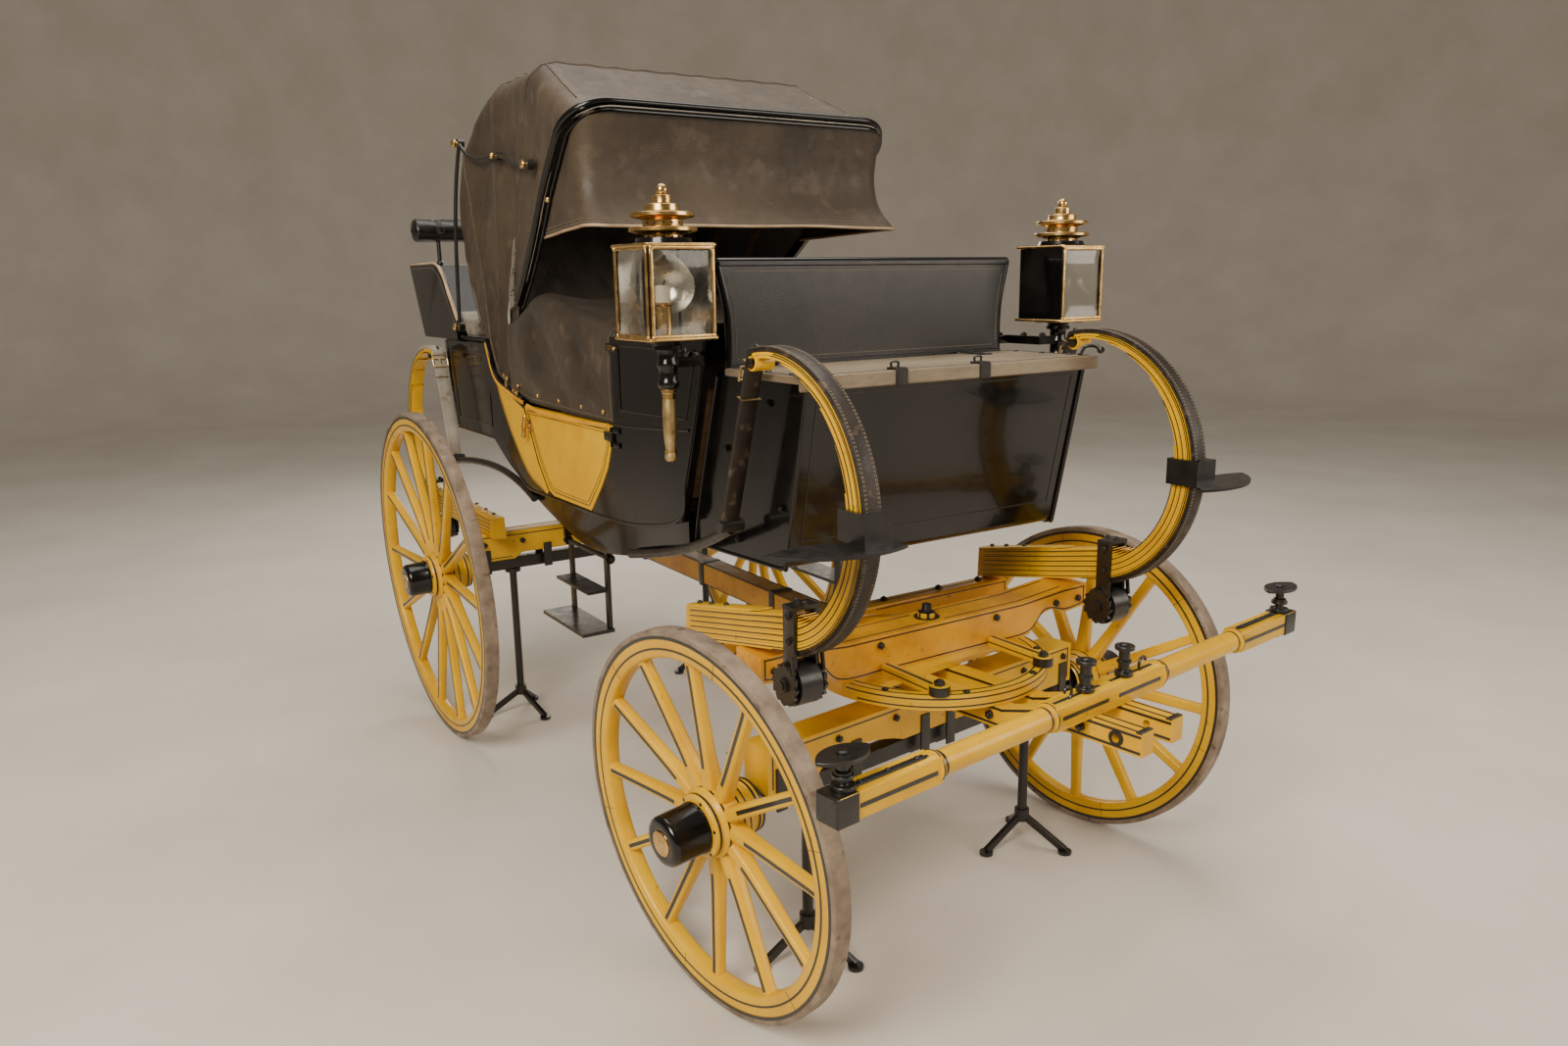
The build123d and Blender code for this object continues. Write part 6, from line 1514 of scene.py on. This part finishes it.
panes, frames, dishes, waxes, black, handles = [], [], [], [], [], []
for hand in (-1, 1):
    cx, cy = lamp["x"], hand * lamp["y"]
    zMid, tall = (lamp["low"] + lamp["high"]) / 2, lamp["high"] - lamp["low"]
    middle = np.array([cx, cy, zMid])
    for a, n in (((0, 1, 0), (1, 0, 0)), ((1, 0, 0), (0, hand, 0))):
        a, n = np.array(a, float), np.array(n, float)
        panes.append(pane(middle + lamp["paneOut"] * n, a, (0, 0, 1), n, 0.150, tall - 0.020))
        centre = middle + lamp["frameOut"] * n
        corner = [(-0.078, -0.098), (0.078, -0.098), (0.078, 0.098), (-0.078, 0.098)]
        ring = along(corner + corner[:1], 60)[:-1]
        loop = centre + ring[:, :1] * a + ring[:, 1:] * np.array([0, 0, 1.0])
        frames.append(sweep(loop, roundProfile(0.009, 0.005, 0.0018, 3), n, closed=True))
        for s, t in corner:
            frames.append(ball(centre + s * a + [0, 0, t], 0.0055))
    for level in (lamp["low"] + 0.001, lamp["high"] - 0.001):
        square = along([(-0.087, -0.087), (0.087, -0.087), (0.087, 0.087), (-0.087, 0.087),
                        (-0.087, -0.087)], 80)[:-1]
        rim = np.stack([cx + square[:, 0], cy + square[:, 1], np.full(79, level)], 1)
        frames.append(sweep(rim, circleProfile(0.0042, 10), (0, 0, 1), closed=True))
    towards = unit(np.array([1.0, hand * 1.0, 0]))
    dish = [(0.0, 0.0), (0.018, 0.002), (0.034, 0.008), (0.048, 0.018), (0.060, 0.032), (0.062, 0.033),
            (0.060, 0.030), (0.047, 0.015), (0.033, 0.005), (0.017, -0.001), (0.0001, -0.002)]
    dishes.append(revolve([(max(r, 0.0001), h) for r, h in dish],
                          middle + [0, 0, 0.012] - towards * 0.060, towards, 40))
    for n in ((1, 0, 0), (0, hand, 0)):
        plate = middle - 0.079 * np.array(n)
        halfPlate = np.cross([0, 0, 1.0], n) * 0.074
        dishes.append(bar(plate - halfPlate, plate + halfPlate, 0.002, 0.185, 0.0006))
    frames.append(revolve([(0.0001, 1.557), (0.026, 1.557), (0.026, 1.566), (0.014, 1.572), (0.0125, 1.60),
                           (0.0125, 1.628), (0.016, 1.632), (0.016, 1.637), (0.0001, 1.637)], (cx, cy, 0),
                          (0, 0, 1), 24))
    waxes.append(revolve([(0.0001, 1.63), (0.0105, 1.632), (0.0105, 1.672), (0.009, 1.676), (0.003, 1.675),
                          (0.0001, 1.6745)], (cx, cy, 0), (0, 0, 1), 20))
    black.append(rod([(cx, cy, 1.672), (cx + 0.001, cy, 1.680), (cx + 0.003, cy, 1.687)], 0.0012, 6,
                     (1, 0, 0)))
    chimney = [(0.0001, 1.764), (0.056, 1.765), (0.057, 1.770), (0.050, 1.774), (0.045, 1.777),
               (0.044, 1.787), (0.052, 1.790), (0.0745, 1.7935), (0.0785, 1.796), (0.0785, 1.7985),
               (0.073, 1.801), (0.052, 1.8045), (0.0455, 1.8075), (0.0445, 1.819), (0.050, 1.8225),
               (0.069, 1.826), (0.0735, 1.829), (0.0735, 1.8315), (0.067, 1.834), (0.048, 1.8375),
               (0.041, 1.841), (0.040, 1.848), (0.030, 1.855), (0.021, 1.859), (0.012, 1.864),
               (0.008, 1.871), (0.0095, 1.875), (0.0001, 1.876)]
    frames.append(revolve(chimney, (cx, cy, 0), (0, 0, 1), 56))
    frames.append(ball((cx, cy, 1.8855), 0.0142, 1.05, (0, 0, 1), 24))
    # black dots round the chimney, in two rows, where its vent holes are: painted shade for the holes' dark
    # insides
    for a in np.arange(14) * 2 * math.pi / 14:
        ray = np.array([math.cos(a), math.sin(a), 0])
        for reach, level, size in ((0.0445, 1.7825, 0.0035), (0.0452, 1.8135, 0.003)):
            black.append(lump(np.array([cx, cy, level]) + reach * ray, size, 0.0012, ray, 8))
    under = [(0.0001, 1.5555), (0.070, 1.5555), (0.070, 1.550), (0.045, 1.545), (0.030, 1.538),
             (0.024, 1.528), (0.0225, 1.505), (0.026, 1.500), (0.026, 1.492), (0.0225, 1.487),
             (0.022, 1.462), (0.0255, 1.456), (0.0255, 1.446), (0.0215, 1.440), (0.0001, 1.440)]
    black.append(revolve(under[::-1], (cx, cy, 0), (0, 0, 1), 40))
    grip = [(0.0001, 1.2675), (0.010, 1.268), (0.0145, 1.273), (0.0155, 1.280), (0.0135, 1.288),
            (0.0125, 1.296), (0.0145, 1.312), (0.0165, 1.345), (0.0170, 1.380), (0.0160, 1.410),
            (0.0140, 1.425), (0.0175, 1.430), (0.0175, 1.4385), (0.0001, 1.4395)]
    handles.append(revolve(grip, (cx, cy, 0), (0, 0, 1), 32))
    for level, size in ((1.4335, 0.0185), (1.2915, 0.0145)):
        frames.append(revolve(flatRing(0.012, size, -0.003, 0.003), (cx, cy, level), (0, 0, 1), 32, True))
    for px, py in ((1.650, 0.535), (1.775, 0.585), (1.7125, 0.572)):
        black.append(nut((px, hand * py, 1.512), 0.010, 0.007, (0, 0, 1)))
put("lampPanes", panes, glassMat, replaces=("lamp_glass",))
put("lampBrasswork", frames, brass)
put("lampReflectors", dishes, silver)
put("lampCandles", waxes, wax)
put("lampIrons", black, blackPaint)
put("lampHandles", handles, greyBrass)
print("stage: lamps")

# camera, light and floor
photo = {"place": (3.27184, -1.91125, 1.6893), "yaw": 2.5559, "pitch": 0.2171, "roll": 0.0144,
         "focal": 1134.8, "width": 1600.0}
yaw, pitch, roll = photo["yaw"], photo["pitch"], photo["roll"]
ahead = np.array([math.cos(yaw) * math.cos(pitch), math.sin(yaw) * math.cos(pitch), -math.sin(pitch)])
right = np.array([math.sin(yaw), -math.cos(yaw), 0.0])
down = np.cross(ahead, right)
camRight = math.cos(roll) * right + math.sin(roll) * down
camDown = -math.sin(roll) * right + math.cos(roll) * down
cameraData = bpy.data.cameras.new("photoCamera")
cameraData.sensor_width = 36.0
cameraData.sensor_fit = "HORIZONTAL"
cameraData.lens = photo["focal"] / photo["width"] * 36.0
cameraData.clip_start = 0.05
camera = bpy.data.objects.new("photoCamera", cameraData)
bpy.context.scene.collection.objects.link(camera)
turn = np.eye(4)
turn[:3, 0], turn[:3, 1], turn[:3, 2], turn[:3, 3] = camRight, -camDown, -ahead, photo["place"]
camera.matrix_world = Matrix(turn.tolist())
bpy.context.scene.camera = camera


def areaLight(name, spot, target, size, power, colour):
    # a soft rectangular light that faces its target
    data = bpy.data.lights.new(name, "AREA")
    data.shape = "RECTANGLE"
    data.size, data.size_y = size
    data.energy = power
    data.color = colour
    light = bpy.data.objects.new(name, data)
    bpy.context.scene.collection.objects.link(light)
    back = unit(np.array(spot, float) - np.array(target, float))
    across = unit(np.cross([0, 0, 1.0], back))
    m = np.eye(4)
    m[:3, 0], m[:3, 1], m[:3, 2], m[:3, 3] = across, np.cross(back, across), back, spot
    light.matrix_world = Matrix(m.tolist())


# columns: name, place, what it looks at, size, power, colour
areaLight("keyLight", (3.4, -4.6, 4.6), (0.2, 0, 0.9), (2.6, 2.6), 470, (1.0, 0.90, 0.76))
areaLight("fillLight", (5.0, 3.4, 3.0), (0.4, 0, 1.0), (3.5, 2.5), 150, (1.0, 0.90, 0.78))
areaLight("topLight", (-0.6, 0.4, 6.0), (0.0, 0, 0.8), (5.0, 4.0), 240, (1.0, 0.93, 0.84))
areaLight("backLight", (-5.0, 2.6, 3.4), (-0.2, 0, 1.2), (3.0, 2.0), 110, (1.0, 0.92, 0.8))
world = bpy.data.worlds.new("studio")
world.use_nodes = True
world.node_tree.nodes["Background"].inputs["Color"].default_value = (0.86, 0.80, 0.72, 1)
world.node_tree.nodes["Background"].inputs["Strength"].default_value = 0.30
bpy.context.scene.world = world

floorMat = finish("paleFloor", [(0.60, 0.56, 0.50), (0.64, 0.60, 0.54), (0.68, 0.64, 0.58)], scale=1.2,
                  rough=(0.75, 0.9), bumps=((60.0, 0.03),))
# round floor that curves up into a wall all the way round
bend = np.linspace(0.12, math.pi / 2, 12)
reach = np.concatenate([[0.01], np.linspace(1, 12, 12), 12 + 4 * np.sin(bend), [16.0]])
height = np.concatenate([np.zeros(13), 4 - 4 * np.cos(bend), [14.0]]) - 0.0005
floorShape = revolve(np.stack([reach, height], 1), (0, 0, 0), (0, 0, 1), 96)
floorMesh = bpy.data.meshes.new("floor")
floorMesh.from_pydata(floorShape[0].tolist(), [], floorShape[1].tolist())
floorMesh.polygons.foreach_set("use_smooth", np.ones(len(floorMesh.polygons), bool))
floorMesh.materials.append(floorMat)
floor = bpy.data.objects.new("floor", floorMesh)
bpy.context.scene.collection.objects.link(floor)
print("stage: camera and light")
